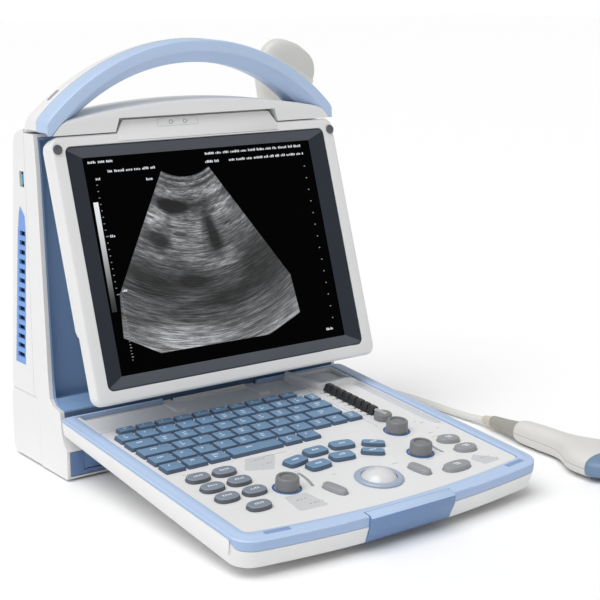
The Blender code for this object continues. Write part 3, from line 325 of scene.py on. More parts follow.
def paints():
    """Every surface finish, and the paints that carry painted shade or a painted highlight, by a short name.
    """
    PAINT.update(
        white=surface("white_plastic", (0.80, 0.80, 0.80), 0.36, 1700, 0.04, 0.012),
        frame=surface("frame_plastic", (0.775, 0.775, 0.775), 0.4, 1400, 0.03, 0.015),
        pale_blue=surface("pale_blue_plastic", (0.475, 0.605, 0.82), 0.36, 1500, 0.03, 0.02),
        mid_blue=surface("hatch_blue_plastic", (0.13, 0.22, 0.42), 0.42, 1500, 0.06, 0.04),
        bay_blue=surface("bay_blue_plastic", (0.235, 0.375, 0.61), 0.5, 1200, 0.08, 0.04),
        # The latch's blue darkened for its steep front faces: painted shade.
        latch_blue=surface("latch_blue_plastic", (0.155, 0.26, 0.47), 0.36, 1500, 0.03, 0.02),
        vent_blue=surface("vent_blue_plastic", (0.16, 0.34, 0.75), 0.4, 1500, 0.04, 0.03),
        bezel=surface("bezel_plastic", (0.021, 0.026, 0.037), 0.42, 2000, 0.05, 0.05, gloss=0.25),
        glass=surface("display_glass", (0.0006, 0.0006, 0.0008), 0.3, 300, 0.0, 0.05, gloss=0.02),
        key=surface("key_rubber", (0.165, 0.285, 0.44), 0.42, 1800, 0.06, 0.05),
        # The keys' blue darkened for their steep sides: painted shade.
        key_side=surface("key_skirt_rubber", (0.075, 0.115, 0.18), 0.5, 1800, 0.06, 0.05),
        grey=surface("button_rubber", (0.235, 0.275, 0.33), 0.42, 1800, 0.06, 0.04),
        light_grey=surface("function_button_rubber", (0.31, 0.32, 0.335), 0.42, 1800, 0.06, 0.04),
        knob=surface("knob_rubber", (0.21, 0.213, 0.222), 0.42, 1600, 0.05, 0.04),
        knob_ring=surface("knob_ring_plastic", (0.05, 0.13, 0.32), 0.4, 1500, 0.04, 0.04),
        black=surface("slider_plastic", (0.028, 0.028, 0.03), 0.36, 1600, 0.08, 0.08),
        dark=surface("dark_plastic", (0.03, 0.031, 0.035), 0.5, 1500, 0.08, 0.06),
        shadow=surface("shadow_plastic", (0.006, 0.008, 0.014), 0.7, 1200, 0.05, 0.06),
        ball=surface("ball_resin", (0.70, 0.70, 0.71), 0.22, 900, 0.0, 0.01, coat=0.3),
        ink=surface("printed_ink", (0.32, 0.33, 0.35), 0.6, 1500, 0.02, 0.06),
        pale_ink=surface("pale_printed_ink", (0.60, 0.61, 0.62), 0.6, 1500, 0.02, 0.05),
        legend=surface("legend_ink", (0.75, 0.78, 0.82), 0.6, 1500, 0.02, 0.04),
        probe=surface("probe_plastic", (0.72, 0.71, 0.68), 0.32, 1500, 0.03, 0.012, coat=0.15),
        cone=surface("relief_rubber", (0.36, 0.345, 0.31), 0.5, 1500, 0.08, 0.04),
        lens=surface("lens_rubber", (0.16, 0.25, 0.38), 0.4, 1400, 0.05, 0.04),
        pale_lens=surface("pale_lens_rubber", (0.66, 0.66, 0.64), 0.4, 1400, 0.04, 0.02),
        cable=surface("cable_sleeve", (0.74, 0.735, 0.71), 0.4, 1400, 0.05, 0.02),
        ferrule=surface("ferrule_plastic", (0.62, 0.56, 0.48), 0.45, 1400, 0.05, 0.02),
        rubber=surface("foot_rubber", (0.02, 0.02, 0.022), 0.75, 1400, 0.15, 0.08),
        bumper=surface("bumper_rubber", (0.10, 0.105, 0.12), 0.6, 1400, 0.1, 0.06),
        steel=surface(
            "steel", (0.55, 0.55, 0.56), 0.28, 900, 0.12, 0.03, metallic=1.0, stretch=(1, 30, 30)
        ),
        board=surface("circuit_board", (0.02, 0.16, 0.08), 0.45, 700, 0.1, 0.08),
        # The bezel's black lightened for its facets that face up and down: a painted highlight.
        lit_bezel=surface("lit_bezel_plastic", (0.075, 0.083, 0.1), 0.42, 2000, 0.05, 0.05, gloss=0.3),
        # The bay's blue darkened for the sheet at the back of the fold's well: painted shade.
        lining=surface("well_lining_plastic", (0.09, 0.15, 0.26), 0.6, 1200, 0.05, 0.06, gloss=0.2),
        port_blue=surface("port_blue_plastic", (0.10, 0.42, 0.62), 0.4, 1500, 0.04, 0.03),
        ring_blue=surface("ring_blue_plastic", (0.36, 0.43, 0.55), 0.3, 1500, 0.03, 0.02),
        pad_blue=surface("pad_blue_rubber", (0.24, 0.35, 0.58), 0.5, 1500, 0.05, 0.04),
        # The grey keys' grey darkened for their steep sides: painted shade.
        grey_side=surface("button_skirt_rubber", (0.10, 0.11, 0.13), 0.5, 1800, 0.06, 0.05),
        # White darkened to grey for the tray's and trough's floors: painted shade in the recesses.
        tray_grey=surface("tray_floor_plastic", (0.63, 0.65, 0.69), 0.45, 1500, 0.04, 0.03),
        seam=surface("seam_shade", (0.42, 0.41, 0.38), 0.6, 1500, 0.03, 0.02),
        # The trim's pale blue darkened for its steep faces: painted shade.
        trim_side=surface("trim_edge_plastic", (0.36, 0.485, 0.715), 0.36, 1500, 0.03, 0.02),
        lever=surface("lever_plastic", (0.42, 0.42, 0.43), 0.4, 1500, 0.04, 0.03),
        screen_ink=glowing("screen_ink", (0.9, 0.93, 1.0), 0.85)[0],
        grey_ink=glowing("screen_grey_ink", (0.8, 0.85, 0.9), 0.34)[0],
        scan=scan_material(),
    )


# Shapes.


def mesh_piece(name, points, faces, paint, body, sharp=SHARP):
    """A piece that rides on a body, from points in the millimetres of that body's frame."""
    mesh = bpy.data.meshes.new(name)
    mesh.from_pydata([frame_of(body) @ Vector(p) for p in points], [], faces)
    bm = bmesh.new()
    bm.from_mesh(mesh)
    bmesh.ops.remove_doubles(bm, verts=bm.verts, dist=1e-6)
    bmesh.ops.recalc_face_normals(bm, faces=bm.faces)
    bm.to_mesh(mesh)
    bm.free()
    return finished(linked(name, mesh), paint, body, sharp)


def finished(obj, paint, body, sharp=SHARP):
    """Paints and shades a piece, and says which body carries it."""
    obj.data.materials.clear()
    obj.data.materials.append(PAINT[paint])
    obj.data.shade_smooth()
    obj.data.set_sharp_from_angle(angle=math.radians(sharp))
    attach(obj, body)
    return obj


def skin_of(loops, ring=False, start=0):
    """(points, faces) of a closed surface through loops of equal length."""
    count = len(loops[0])
    points = [p for loop in loops for p in loop]
    faces = []
    for k in range(len(loops) if ring else len(loops) - 1):
        low = start + k * count
        high = start + (k + 1) % len(loops) * count
        for i in range(count):
            j = (i + 1) % count
            faces.append((low + i, low + j, high + j, high + i))
    if not ring:
        faces.append(tuple(range(start, start + count))[::-1])
        faces.append(tuple(range(start + len(points) - count, start + len(points))))
    return points, faces


class Batch:
    """Many small closed shapes as one mesh, such as a keyboard's keys or its printed marks."""

    def __init__(self):
        self.points = []
        self.faces = []

    def add(self, loops, ring=False):
        points, faces = skin_of(loops, ring, len(self.points))
        self.points += points
        self.faces += faces

    def piece(self, name, paint, body, slot, sharp=SHARP):
        return mesh_piece(name, self.points, self.faces, paint, body, sharp)


def skin(name, loops, paint, body, ring=False, sharp=SHARP):
    points, faces = skin_of(loops, ring)
    return mesh_piece(name, points, faces, paint, body, sharp)


def at_x(outline, x):
    return [(x, a, b) for a, b in outline]


def at_y(outline, y):
    return [(a, y, b) for a, b in outline]


def at_z(outline, z):
    return [(a, b, z) for a, b in outline]


def circle(radius, count, centre=(0, 0)):
    turn = 2 * math.pi / count
    return [
        (centre[0] + radius * math.cos(i * turn), centre[1] + radius * math.sin(i * turn))
        for i in range(count)
    ]


def oval(half_a, half_b, count, squareness):
    """A superellipse."""
    points = []
    for i in range(count):
        angle = 2 * math.pi * (i + 0.5) / count
        c, s = math.cos(angle), math.sin(angle)
        a = half_a * math.copysign(abs(c) ** (2 / squareness), c)
        b = half_b * math.copysign(abs(s) ** (2 / squareness), s)
        points.append((a, b))
    return points


def rounded(corners, steps=6):
    """An outline through corners (a, b, radius), each with radius turned into an arc."""
    points = []
    for i, (a, b, radius) in enumerate(corners):
        here = Vector((a, b))
        before = (Vector(corners[i - 1][:2]) - here).normalized()
        after = (Vector(corners[(i + 1) % len(corners)][:2]) - here).normalized()
        if radius <= 0:
            points.append((a, b))
            continue
        half = before.angle(after) / 2
        reach = radius / math.tan(half)
        centre = here + (before + after).normalized() * radius / math.sin(half)
        start = here + before * reach - centre
        end = here + after * reach - centre
        turn = start.angle_signed(end)
        for k in range(steps + 1):
            arm = start.copy()
            arm.rotate(Matrix.Rotation(-turn * k / steps, 2))
            points.append(tuple(centre + arm))
    return points


def rounded_rect(a0, b0, a1, b1, radius, steps=6):
    return rounded([(a0, b0, radius), (a1, b0, radius), (a1, b1, radius), (a0, b1, radius)], steps)


def rounded_box(half_a, low, high, radius, steps=6, centre=0.0):
    return rounded_rect(centre - half_a, low, centre + half_a, high, radius, steps)


def turned(outline, centre, turn=0.0):
    c, s = math.cos(turn), math.sin(turn)
    return [(centre[0] + a * c - b * s, centre[1] + a * s + b * c) for a, b in outline]


def inset(outline, distance):
    """An outline drawn inwards by moving each point along the mean normal of its two edges."""
    moved = []
    area = sum(p[0] * q[1] - q[0] * p[1] for p, q in zip(outline, outline[1:] + outline[:1]))
    side = 1 if area > 0 else -1
    for i, point in enumerate(outline):
        before = Vector(point) - Vector(outline[i - 1])
        after = Vector(outline[(i + 1) % len(outline)]) - Vector(point)
        normal = Vector((0, 0))
        for edge in (before, after):
            if edge.length > 1e-9:
                normal += Vector((-edge.y, edge.x)) / edge.length
        if normal.length < 1e-9:
            moved.append(point)
            continue
        normal.normalize()
        reach = before if before.length > 1e-9 else after
        cosine = abs(normal.dot(Vector((-reach.y, reach.x)) / reach.length))
        moved.append(tuple(Vector(point) + normal * side * distance / max(cosine, 0.4)))
    return moved


def cushion(outline, low, high, edge, slope, dome=0.0, steps=4):
    """Loops of a key: sides that lean in by slope, and a rounded edge round a top with a slight dome."""
    loops = [at_z(outline, low), at_z(inset(outline, slope * 0.9), high - edge)]
    for k in range(1, steps + 1):
        angle = math.pi / 2 * k / steps
        leant = inset(outline, slope + edge * (1 - math.cos(angle)))
        loops.append(at_z(leant, high - edge * (1 - math.sin(angle))))
    if dome:
        middle = [sum(p[i] for p in outline) / len(outline) for i in (0, 1)]
        top = loops[-1]
        for share in (0.75, 0.45, 0.15):
            rise = dome * (1 - share * share)
            loops.append([
                (middle[0] + (x - middle[0]) * share, middle[1] + (y - middle[1]) * share, z + rise)
                for x, y, z in top
            ])
    return loops


def lathe(profile, count, centre):
    return [at_z(circle(max(r, 0.01), count, centre), z) for r, z in profile]


def fillet(profile, radius, steps=4):
    """A lathe profile with its corners rounded."""
    points = [profile[0]]
    for a, b, c in zip(profile, profile[1:], profile[2:]):
        here, before, after = Vector(b), Vector(a), Vector(c)
        reach = min(radius, (here - before).length * 0.45, (after - here).length * 0.45)
        start = here + (before - here).normalized() * reach
        end = here + (after - here).normalized() * reach
        for k in range(steps + 1):
            t = k / steps
            points.append(tuple(start * (1 - t) ** 2 + here * 2 * t * (1 - t) + end * t * t))
    return points + [profile[-1]]


def softened(name, paint, body, width, segments=3):
    """A copy of a solid with its edges rounded, which stands for it."""
    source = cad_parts[name]
    mesh = source.data.copy()
    bm = bmesh.new()
    bm.from_mesh(mesh)
    bmesh.ops.remove_doubles(bm, verts=bm.verts, dist=2e-6)
    bmesh.ops.dissolve_limit(bm, angle_limit=math.radians(0.6), verts=bm.verts, edges=bm.edges)
    bmesh.ops.recalc_face_normals(bm, faces=bm.faces)
    bm.to_mesh(mesh)
    bm.free()
    obj = linked(name + "_skin", mesh)
    obj.matrix_world = source.matrix_world.copy()
    bevel = obj.modifiers.new("edges", "BEVEL")
    bevel.width = width * MM
    bevel.segments = segments
    bevel.limit_method = "ANGLE"
    bevel.angle_limit = math.radians(28)
    bevel.use_clamp_overlap = True
    bevel.harden_normals = True
    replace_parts(finished(obj, paint, body), name)


def repaint(name, paint):
    """A solid whose shape is right keeps it, and gets a better finish."""
    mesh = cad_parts[name].data
    mesh.materials.clear()
    mesh.materials.append(PAINT[paint])


# The lead.

LEAD_FROM_PLUG = [
    (170, 85, 91.6), (170, 85.5, 80), (170, 88, 62), (170, 95, 42), (169, 106, 24), (164.5, 117, 11.5),
    (153, 123.6, 5.2), (137, 125.6, 3.7), (118, 125.4, 3.7),
]
LEAD_TO_PROBE = [
    (167.1, 178, 3.7), (167.6, 164, 3.7), (174, 146, 3.7), (190, 126, 3.7), (213, 106, 3.7),
    (236, 82, 3.7), (250, 52, 3.7), (255.4, 18, 3.7), (256.4, -18, 3.7), (256.2, -52, 3.8),
    (255.8, -80, 4.8), (255.1, -103.9, 7.3),
]
COIL_TURNS = 5.75
COIL_OUTER = 44.5
COIL_OPENING = 52.3
COIL_PITCH = 7.0
COIL_FLOOR = 3.8
COIL_LAYER = 7.1


def eased(share):
    """0 to 1 with soft ends."""
    return share * share * (3 - 2 * share)


def spline(p, q, r, s, t):
    """A Catmull-Rom curve between q and r, for numbers or vectors."""
    return 0.5 * (2 * q + (r - p) * t + (2 * p - 5 * q + 4 * r - s) * t**2 + (3 * q - p - 3 * r + s) * t**3)


def smooth_path(points, step):
    """A Catmull-Rom curve through the points, read every step millimetres."""
    knots = [Vector(p) for p in points]
    knots = [knots[0] * 2 - knots[1], *knots, knots[-1] * 2 - knots[-2]]
    fine = []
    fine = []
    for near in zip(knots, knots[1:], knots[2:], knots[3:]):
        fine += [spline(*near, k / 12) for k in range(12)]
    fine.append(knots[-2])
    length = sum((q - p).length for p, q in zip(fine, fine[1:]))
    count = max(2, round(length / step))
    kept, walked, wanted = [fine[0]], 0.0, length / count
    for p, q in zip(fine, fine[1:]):
        part = (q - p).length
        while walked + part >= wanted * len(kept) - 1e-6 and len(kept) < count:
            kept.append(p.lerp(q, (wanted * len(kept) - walked) / part))
        walked += part
    kept.append(fine[-1])
    return kept


def coil_path():
    """Two layers of three turns, wound clockwise: inwards below and outwards above."""
    points = []
    steps = int(COIL_TURNS * 36)
    for i in range(1, steps):
        turns = COIL_TURNS * i / steps
        from_end = min(turns, COIL_TURNS - turns)
        radius = COIL_OUTER - COIL_PITCH * min(max(from_end - 0.4, 0), 2.0)
        if from_end < 0.35:
            radius += (COIL_OPENING - COIL_OUTER) * (1 - eased(from_end / 0.35))
        rise = eased(min(max((turns - 2.6) / 0.6, 0), 1))
        fall = eased(min(max((turns - 5.0) / 0.7, 0), 1))
        height = COIL_FLOOR + COIL_LAYER * rise - COIL_LAYER * fall
        angle = -math.pi / 2 - 2 * math.pi * turns
        x, y = COIL_AT[0] + radius * math.cos(angle), COIL_AT[1] + radius * math.sin(angle)
        points.append(Vector((x, y, height)))
    return points


def lead():
    path = smooth_path(LEAD_FROM_PLUG, 7) + coil_path() + smooth_path(LEAD_TO_PROBE, 9)
    curve = bpy.data.curves.new("probe_lead", "CURVE")
    curve.dimensions = "3D"
    curve.bevel_depth = LEAD_R * MM
    curve.bevel_resolution = 5
    curve.use_fill_caps = True
    line = curve.splines.new("POLY")
    line.points.add(len(path) - 1)
    for point, place in zip(line.points, path):
        point.co = (*(TOWER @ place), 1)
    line.use_smooth = True
    curve.materials.append(PAINT["cable"])
    obj = linked("probe_lead", curve)
    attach(obj, "tower")
    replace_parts(obj, "lead_from_plug", "lead_coil", "lead_to_probe")
    length = sum((q - p).length for p, q in zip(path, path[1:])) * MM
    return obj, TOWER @ path[0], length


def refined(places, steps=5):
    """More sections between the given ones, on a smooth curve through their numbers."""
    rows = [places[0], *places, places[-1]]
    fine = []
    for near in zip(rows, rows[1:], rows[2:], rows[3:]):
        for k in range(steps):
            fine.append(tuple(spline(*numbers, k / steps) for numbers in zip(*near)))
    return fine + [places[-1]]


# The probe on the table, from the lead to the tip: (y, x, z, half width, half height, squareness).

FERRULE = [
    (-104.4, 255, 7.6, 4.0, 4.0, 2), (-104.9, 254.9, 7.7, 4.5, 4.5, 2), (-116.2, 254.2, 9.0, 4.9, 4.9, 2),
    (-117, 254.1, 9.1, 4.6, 4.6, 2),
]
RELIEF = [
    (-117.2, 254.1, 9.1, 5.4, 5.4, 2), (-118, 254, 9.1, 6.0, 6.0, 2), (-138, 251.8, 10.2, 7.0, 6.9, 2),
    (-156, 249.4, 11.3, 8.7, 8.3, 2), (-158.2, 249.2, 11.4, 8.4, 8.0, 2),
]
SHELL = [
    (-158.4, 249, 11.7, 8.8, 8.4, 2.2), (-160, 248.9, 11.8, 10.4, 9.8, 2.3),
    (-168, 248.6, 11.9, 11.6, 10.9, 2.4), (-190, 247.9, 12, 12.6, 11.4, 2.5),
    (-208, 247.3, 12, 12.8, 11.3, 2.6), (-222, 246.9, 12, 15.4, 11.3, 2.8),
    (-234, 246.5, 12, 21.5, 11.4, 2.9),
    (-245, 246.1, 12, 28, 11.5, 3), (-256, 245.8, 12, 31.2, 11.5, 3), (-272, 245.4, 12, 32, 11.3, 3),
]
LENS = [
    (-272.3, 245.4, 12, 31.6, 10.4, 3), (-276, 245.3, 12, 31.4, 10.2, 3), (-283, 245.2, 12, 28.8, 9.6, 2.9),
    (-289, 245, 12, 23.2, 8.8, 2.7), (-293, 245, 12, 14, 7.2, 2.4), (-293.9, 245, 12, 5, 3.4, 2.2),
]


def probe_part(name, places, paint, node_name=None):
    loops = [
        [(x + p, y, z + q) for p, q in oval(a, b, 40, square)] for y, x, z, a, b, square in refined(places)
    ]
    piece = skin(name, loops, paint, "tower", sharp=50)
    if node_name:
        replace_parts(piece, node_name)
    return piece


def table_probe():
    probe_part("probe_shell_skin", SHELL, "probe", "probe_shell")
    seam = []
    for y, x, z, across, _, _ in refined(SHELL):
        inner, outer, low, high = x - across - 0.08, x - across + 0.4, z - 0.22, z + 0.22
        seam.append([(inner, y, low), (outer, y, low), (outer, y, high), (inner, y, high)])
    skin("probe_seam", seam, "seam", "tower")
    probe_part("probe_lens_skin", LENS, "lens", "probe_lens")
    cone = probe_part("strain_relief_skin", RELIEF, "cone", "probe_strain_relief")
    return [cone, probe_part("lead_ferrule_skin", FERRULE, "ferrule")]


def plug():
    outline = rounded_rect(73, 109, 97, 151, 5, 5)
    ends = ((0.8, 156.0), (0, 156.8), (0, 178), (0.8, 181), (2.4, 183))
    loops = [at_x(inset(outline, by), x) for by, x in ends]
    box = skin("probe_plug_skin", loops, "dark", "tower")
    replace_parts(box, "probe_plug")
    ribs = []
    for i in range(7):
        z = 109.5 - 2.4 * i
        radius = 6.0 - 0.19 * i
        ribs += [(radius, z), (radius, z - 1.5), (radius - 0.7, z - 1.6), (radius - 0.7, z - 2.3)]
    gland = skin("plug_gland", lathe([*ribs, (3.7, 92.2)], 28, (170, 85)), "dark", "tower")
    return [box, gland]


def cords():
    piece, exit_point, length = lead()
    ends = table_probe() + plug()


# The control panel's pieces.


def applied(obj):
    """Makes an object's modifiers part of its mesh."""
    graph = bpy.context.evaluated_depsgraph_get()
    mesh = bpy.data.meshes.new_from_object(obj.evaluated_get(graph))
    obj.modifiers.clear()
    obj.data = mesh
    return obj


def carved(obj, *blocks):
    """Cuts boxes, given as (x, y, z) ranges in the panel's millimetres, out of a piece of the panel."""
    for (x0, x1), (y0, y1), (z0, z1) in blocks:
        corners = [(x, y, z) for z in (z0, z1) for x, y in ((x0, y0), (x1, y0), (x1, y1), (x0, y1))]
        faces = [(3, 2, 1, 0), (4, 5, 6, 7), (0, 1, 5, 4), (1, 2, 6, 5), (2, 3, 7, 6), (3, 0, 4, 7)]
        mesh = bpy.data.meshes.new("block")
        mesh.from_pydata([PANEL @ Vector(corner) for corner in corners], [], faces)
        block = linked("block", mesh)
        modifier = obj.modifiers.new("cut", "BOOLEAN")
        modifier.operation = "DIFFERENCE"
        modifier.solver = "EXACT"
        modifier.object = block
        applied(obj)
        bpy.data.objects.remove(block)
    obj.data.shade_smooth()
    obj.data.set_sharp_from_angle(angle=math.radians(SHARP))
    return obj


def panel_outline(inset_by, steps=10):
    half = PANEL_HALF - inset_by
    front = PANEL_FRONT - inset_by
    corner = max(PANEL_CORNER - inset_by, 1.5)
    shares = [-1 + 2 * i / 24 for i in range(25)]
    points = [(half * s, -(front - PANEL_BOW * s * s), 0) for s in shares if abs(s) < 0.86]
    ends = [(half * s, -(front - PANEL_BOW), corner) for s in (-1, 1)]
    rear = max(6 - 0.3 * inset_by, 1.0)
    back = -(0.8 + 0.3 * inset_by)
    return rounded([ends[0], *points, ends[1], (half, back, rear), (-half, back, rear)], steps)


def underside(v):
    return -UNDERSIDE_REAR - UNDERSIDE_DROP * v / PANEL_FRONT


def trim_foot(v):
    """The trim's lower edge, which dips along the front."""
    return -TRIM_EDGE - TRIM_DROP * eased(min(max((v - TRIM_DROP_FROM) / TRIM_DROP_OVER, 0), 1))


def lifted(outline, height):
    """A loop at one height, or at a height that depends on v."""
    return [(a, b, height(-b) if callable(height) else height) for a, b in outline]


def panel_trim():
    loops = [lifted(panel_outline(i), h) for i, h in (
        (13.8, -4.2), (13.8, -0.7), (13.6, -0.25), (13.1, 0), (6.2, 0), (5.7, -0.3), (2.6, -0.35),
        (1.4, -0.5), (0.5, -0.95), (0.1, -1.5), (0, lambda v: trim_foot(v) + 0.4), (0.4, trim_foot),
        (3.4, trim_foot), (3.4, -4.2),
    )]
    piece = skin("panel_trim_skin", loops, "pale_blue", "panel", ring=True)
    carved(piece, ((-53.6, 53.6), (-6, 5), (-40, 8)), (LATCH_GAP, (-305, -286.5), (-30, 3)))
    # The trim's steep faces take painted shade.
    split_sides(piece, "trim_side", 0.6)
    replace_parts(piece, "panel_trim")


def panel_base():
    """The white shell below the trim, with a soft lower edge."""
    def drawn(outline, share):
        """An outline drawn in a little at the sides, and more along the front."""
        return [
            (a * (1 - 0.004 * share), b + 2.5 * share * max(0, (-b - 200) / 95) ** 2) for a, b in outline
        ]

    loops = [
        lifted(drawn(panel_outline(i), share), lambda v, rise=rise: underside(v) + rise)
        for i, share, rise in (
            (12, 1, 0), (4.6, 1, 0), (3.2, 1, 0.3), (2.1, 0.95, 1.0), (1.5, 0.9, 2.0), (1.2, 0.8, 3.2),
        )
    ]
    loops += [
        lifted(panel_outline(i), lambda v, drop=drop: trim_foot(v) - drop)
        for i, drop in ((0.1, 0.9), (0.35, 0.35), (0.9, 0.2), (3.2, 0.2))
    ]
    loops += [lifted(panel_outline(i), -4.5) for i in (3.9, 17.5)]
    loops.append(lifted(panel_outline(17.5), lambda v: underside(v) + 2.4))
    piece = skin("panel_base_skin", loops, "white", "panel")
    hinges = [((u - 6.6, u + 6.6), (-28.4, 5), (-40, 8)) for u in (-47, 47)]
    behind = ((-170, 170), (-3.5, 3), (-27, -9.5))
    carved(piece, *hinges, (LATCH_GAP, (-305, -278), (-30, -1)), behind)
    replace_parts(piece, "panel_base")
    seam = Batch()
    strip = ((-0.15, -0.25), (0.1, -0.25), (0.1, 0.25), (-0.15, 0.25))
    for side in (-1, 1):
        line = [(side * 157.75 + a, b - 268.5) for a, b in strip]
        seam.add([at_z(line, w) for w in (-3.2, -9, -14.5)])
    seam.piece("corner_seams", "ink", "panel", "white_plastic")


def latch():
    side = rounded([
        (-287.0, 0.4, 0.6), (-294, 0.2, 1.6), (-296.6, -2.2, 1.5), (-296.4, -9.5, 3), (-291.5, -22, 3),
        (-288.5, -25.6, 1.5), (-285.5, -26.2, 0.6), (-280.5, -25, 0.6), (-280.5, -10, 0.6),
        (-284, -5.4, 0.6), (-287.0, -4.8, 0.6),
    ], 5)
    ends = ((1.1, -44), (0.3, -43.7), (0, -43), (0, 43), (0.3, 43.7), (1.1, 44))
    loops = [at_x(inset(side, by), x) for by, x in ends]
    piece = skin("panel_latch_skin", loops, "pale_blue", "latch")
    # The latch's steep faces take painted shade.
    split_sides(piece, "latch_blue", 0.6)
    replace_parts(piece, "panel_latch")


def key_rows():
    """(rear v, depth, first u, widths) of each row of keys."""
    unit = 18.6
    return [
        (49.6, 10.0, -130.0, [17.6] * 10),
        (63.0, 15.2, -139.0, [unit] * 10 + [11.8]),
        (80.6, 15.6, -139.5, [26.9] + [unit] * 8 + [23.7]),
        (98.6, 15.6, -138.8, [32.9] + [unit] * 7 + [34.8]),
        (116.4, 15.6, -138.8, [22.3] + [unit] * 8 + [16.7, 15.9]),
        (134.4, 15.0, -138.6, [19.8, 19.8, 20.8, 53.3, unit, unit]),
    ]


def split_sides(obj, paint, steep=0.72):
    """Gives the steep faces of a piece a darker paint: painted shade on its sides and front."""
    obj.data.materials.append(PAINT[paint])
    up = (PANEL.to_3x3() @ Vector((0, 0, 1))).normalized()
    for face in obj.data.polygons:
        if face.normal.dot(up) < steep:
            face.material_index = 1


def mark(batch, a0, a1, b0, b1, low):
    """A printed bar, as thick as ink on a surface."""
    outline = rounded_rect(a0, b0, a1, b1, min(a1 - a0, b1 - b0) * 0.3, 2)
    batch.add([at_z(outline, low), at_z(outline, low + INK)])


def keyboard():
    keys, marks = Batch(), Batch()
    for row, (back, depth, start, widths) in enumerate(key_rows()):
        u = start
        for width in widths:
            outline = rounded_box(width / 2, -(back + depth), -back, 1.5, 4, u + width / 2)
            keys.add(cushion(outline, -2.0, KEY_TOP, 0.8, 0.8))
            left = u + width * 0.36
            top = -(back + depth * 0.3)
            for k in range(rng.randint(1, 2) if width < 20 else 3):
                low = top - rng.uniform(1.6, 2.6)
                mark(marks, left + 2.1 * k, left + 2.1 * k + 1.3, low, top, KEY_TOP)
            if row and rng.random() < 0.5:
                mark(marks, left - 1.0, left + 2.6, top - 5.4, top - 4.2, KEY_TOP)
            u += width + KEY_GAP
    piece = keys.piece("keyboard_keys", "key", "panel", "key_rubber")
    # The keys' steep sides take painted shade.
    split_sides(piece, "key_side")
    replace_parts(piece, "keyboard_mat")
    marks.piece("keyboard_marks", "legend", "panel", "key_rubber")
    web = rounded_rect(-142.2, -152.2, 81.7, -46.6, 2, 4)
    loops = [at_z(web, -3.1), at_z(web, -1.7), at_z(inset(web, 0.5), -1.2)]
    skin("keyboard_web", loops, "white", "panel")


def blades():
    places = [
        (-33, 182, 0.22), (-5.5, 173.5, 0.03), (23.5, 173.2, -0.16), (50, 184, -0.62),
        (-20.5, 197.5, 0.1), (8.5, 192.6, -0.12), (38, 198, -0.62),
    ]
    pads, marks = Batch(), Batch()
    for u, v, turn in places:
        slim = abs(turn) > 0.5
        outline = turned(oval(10.6 if slim else 11.8, 5.0 if slim else 7.2, 48, 4.0), (u, -v), turn)
        pads.add(cushion(outline, -0.7, BUTTON_TOP, 0.9, 0.6, 0.1))
        for k in range(3):
            left = u - 3.4 + 2.4 * k
            mark(marks, left, left + 1.6, -v - 1.2, -v + rng.uniform(0.6, 1.6), BUTTON_TOP + 0.08)
    piece = pads.piece("function_keys", "key", "panel", "key_rubber", 50)
    # The keys' steep sides take painted shade.
    split_sides(piece, "key_side")
    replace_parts(piece, "function_keypad")
    marks.piece("function_marks", "legend", "panel", "key_rubber")


def left_ovals():
    places = [
        (-121.8, 170), (-96.5, 170), (-121.8, 191), (-96.0, 191), (-121.8, 212), (-96.0, 212.5),
        (-108.5, 236.5),
    ]
    pads, marks = Batch(), Batch()
    for u, v in places:
        pads.add(cushion(turned(oval(11.0, 7.4, 48, 2.5), (u, -v)), -0.7, BUTTON_TOP, 1.1, 0.6, 0.15))
        for k in range(4):
            left = u - 4.2 + 2.3 * k
            mark(marks, left, left + 1.3, -v - 1.3, -v + rng.uniform(0.4, 1.6), BUTTON_TOP + 0.1)
    piece = pads.piece("left_keys", "grey", "panel", "button_grey", 50)
    # The grey keys' steep sides take painted shade.
    split_sides(piece, "grey_side", 0.4)
    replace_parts(piece, "left_keypad")
    marks.piece("left_marks", "legend", "panel", "button_grey")


def press_keys():
    """The keys that move on their own. The two beside the trackball carry no marks."""
    for name, u, v, half_a, half_b, squareness, turn in (
        ("select_key_left", -37.0, 241.0, 12.0, 5.2, 3.0, -1.35),
        ("select_key_right", 49.5, 245.5, 11.6, 5.2, 3.0, -1.42),
        ("measure_key", 81.0, 257.0, 14.5, 7.6, 2.4, 0.05),
        ("freeze_key", 115.5, 231.0, 10.8, 7.2, 2.3, -0.2),
        ("store_key", 115.5, 209.0, 10.6, 7.2, 2.3, -0.35),
    ):
        outline = turned(oval(half_a, half_b, 40, squareness), (u, -v), turn)
        loops = cushion(outline, -1.3, BUTTON_TOP, 1.3, 0.6, 0.25)
        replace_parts(skin(name + "_cap", loops, "light_grey", name, sharp=50), name)
        if "select" in name:
            continue
        marks = Batch()
        mark(marks, u - 3.4, u + 3.0, -v + 0.3, -v + 1.7, BUTTON_TOP + 0.2)
        mark(marks, u - 1.8, u + 3.4, -v - 1.9, -v - 0.6, BUTTON_TOP + 0.2)
        marks.piece(name + "_mark", "legend", name, "button_grey")


def ribbed(profile, ribs, depth, centre, count):
    """A lathe whose rows flagged True carry fine vertical ribs."""
    loops = []
    for radius, z, has_ribs in profile:
        outline = []
        for i in range(count):
            angle = 2 * math.pi * i / count
            reach = radius + (depth * math.cos(ribs * angle) if has_ribs else 0)
            outline.append((centre[0] + reach * math.cos(angle), centre[1] + reach * math.sin(angle), z))
        loops.append(outline)
    return loops


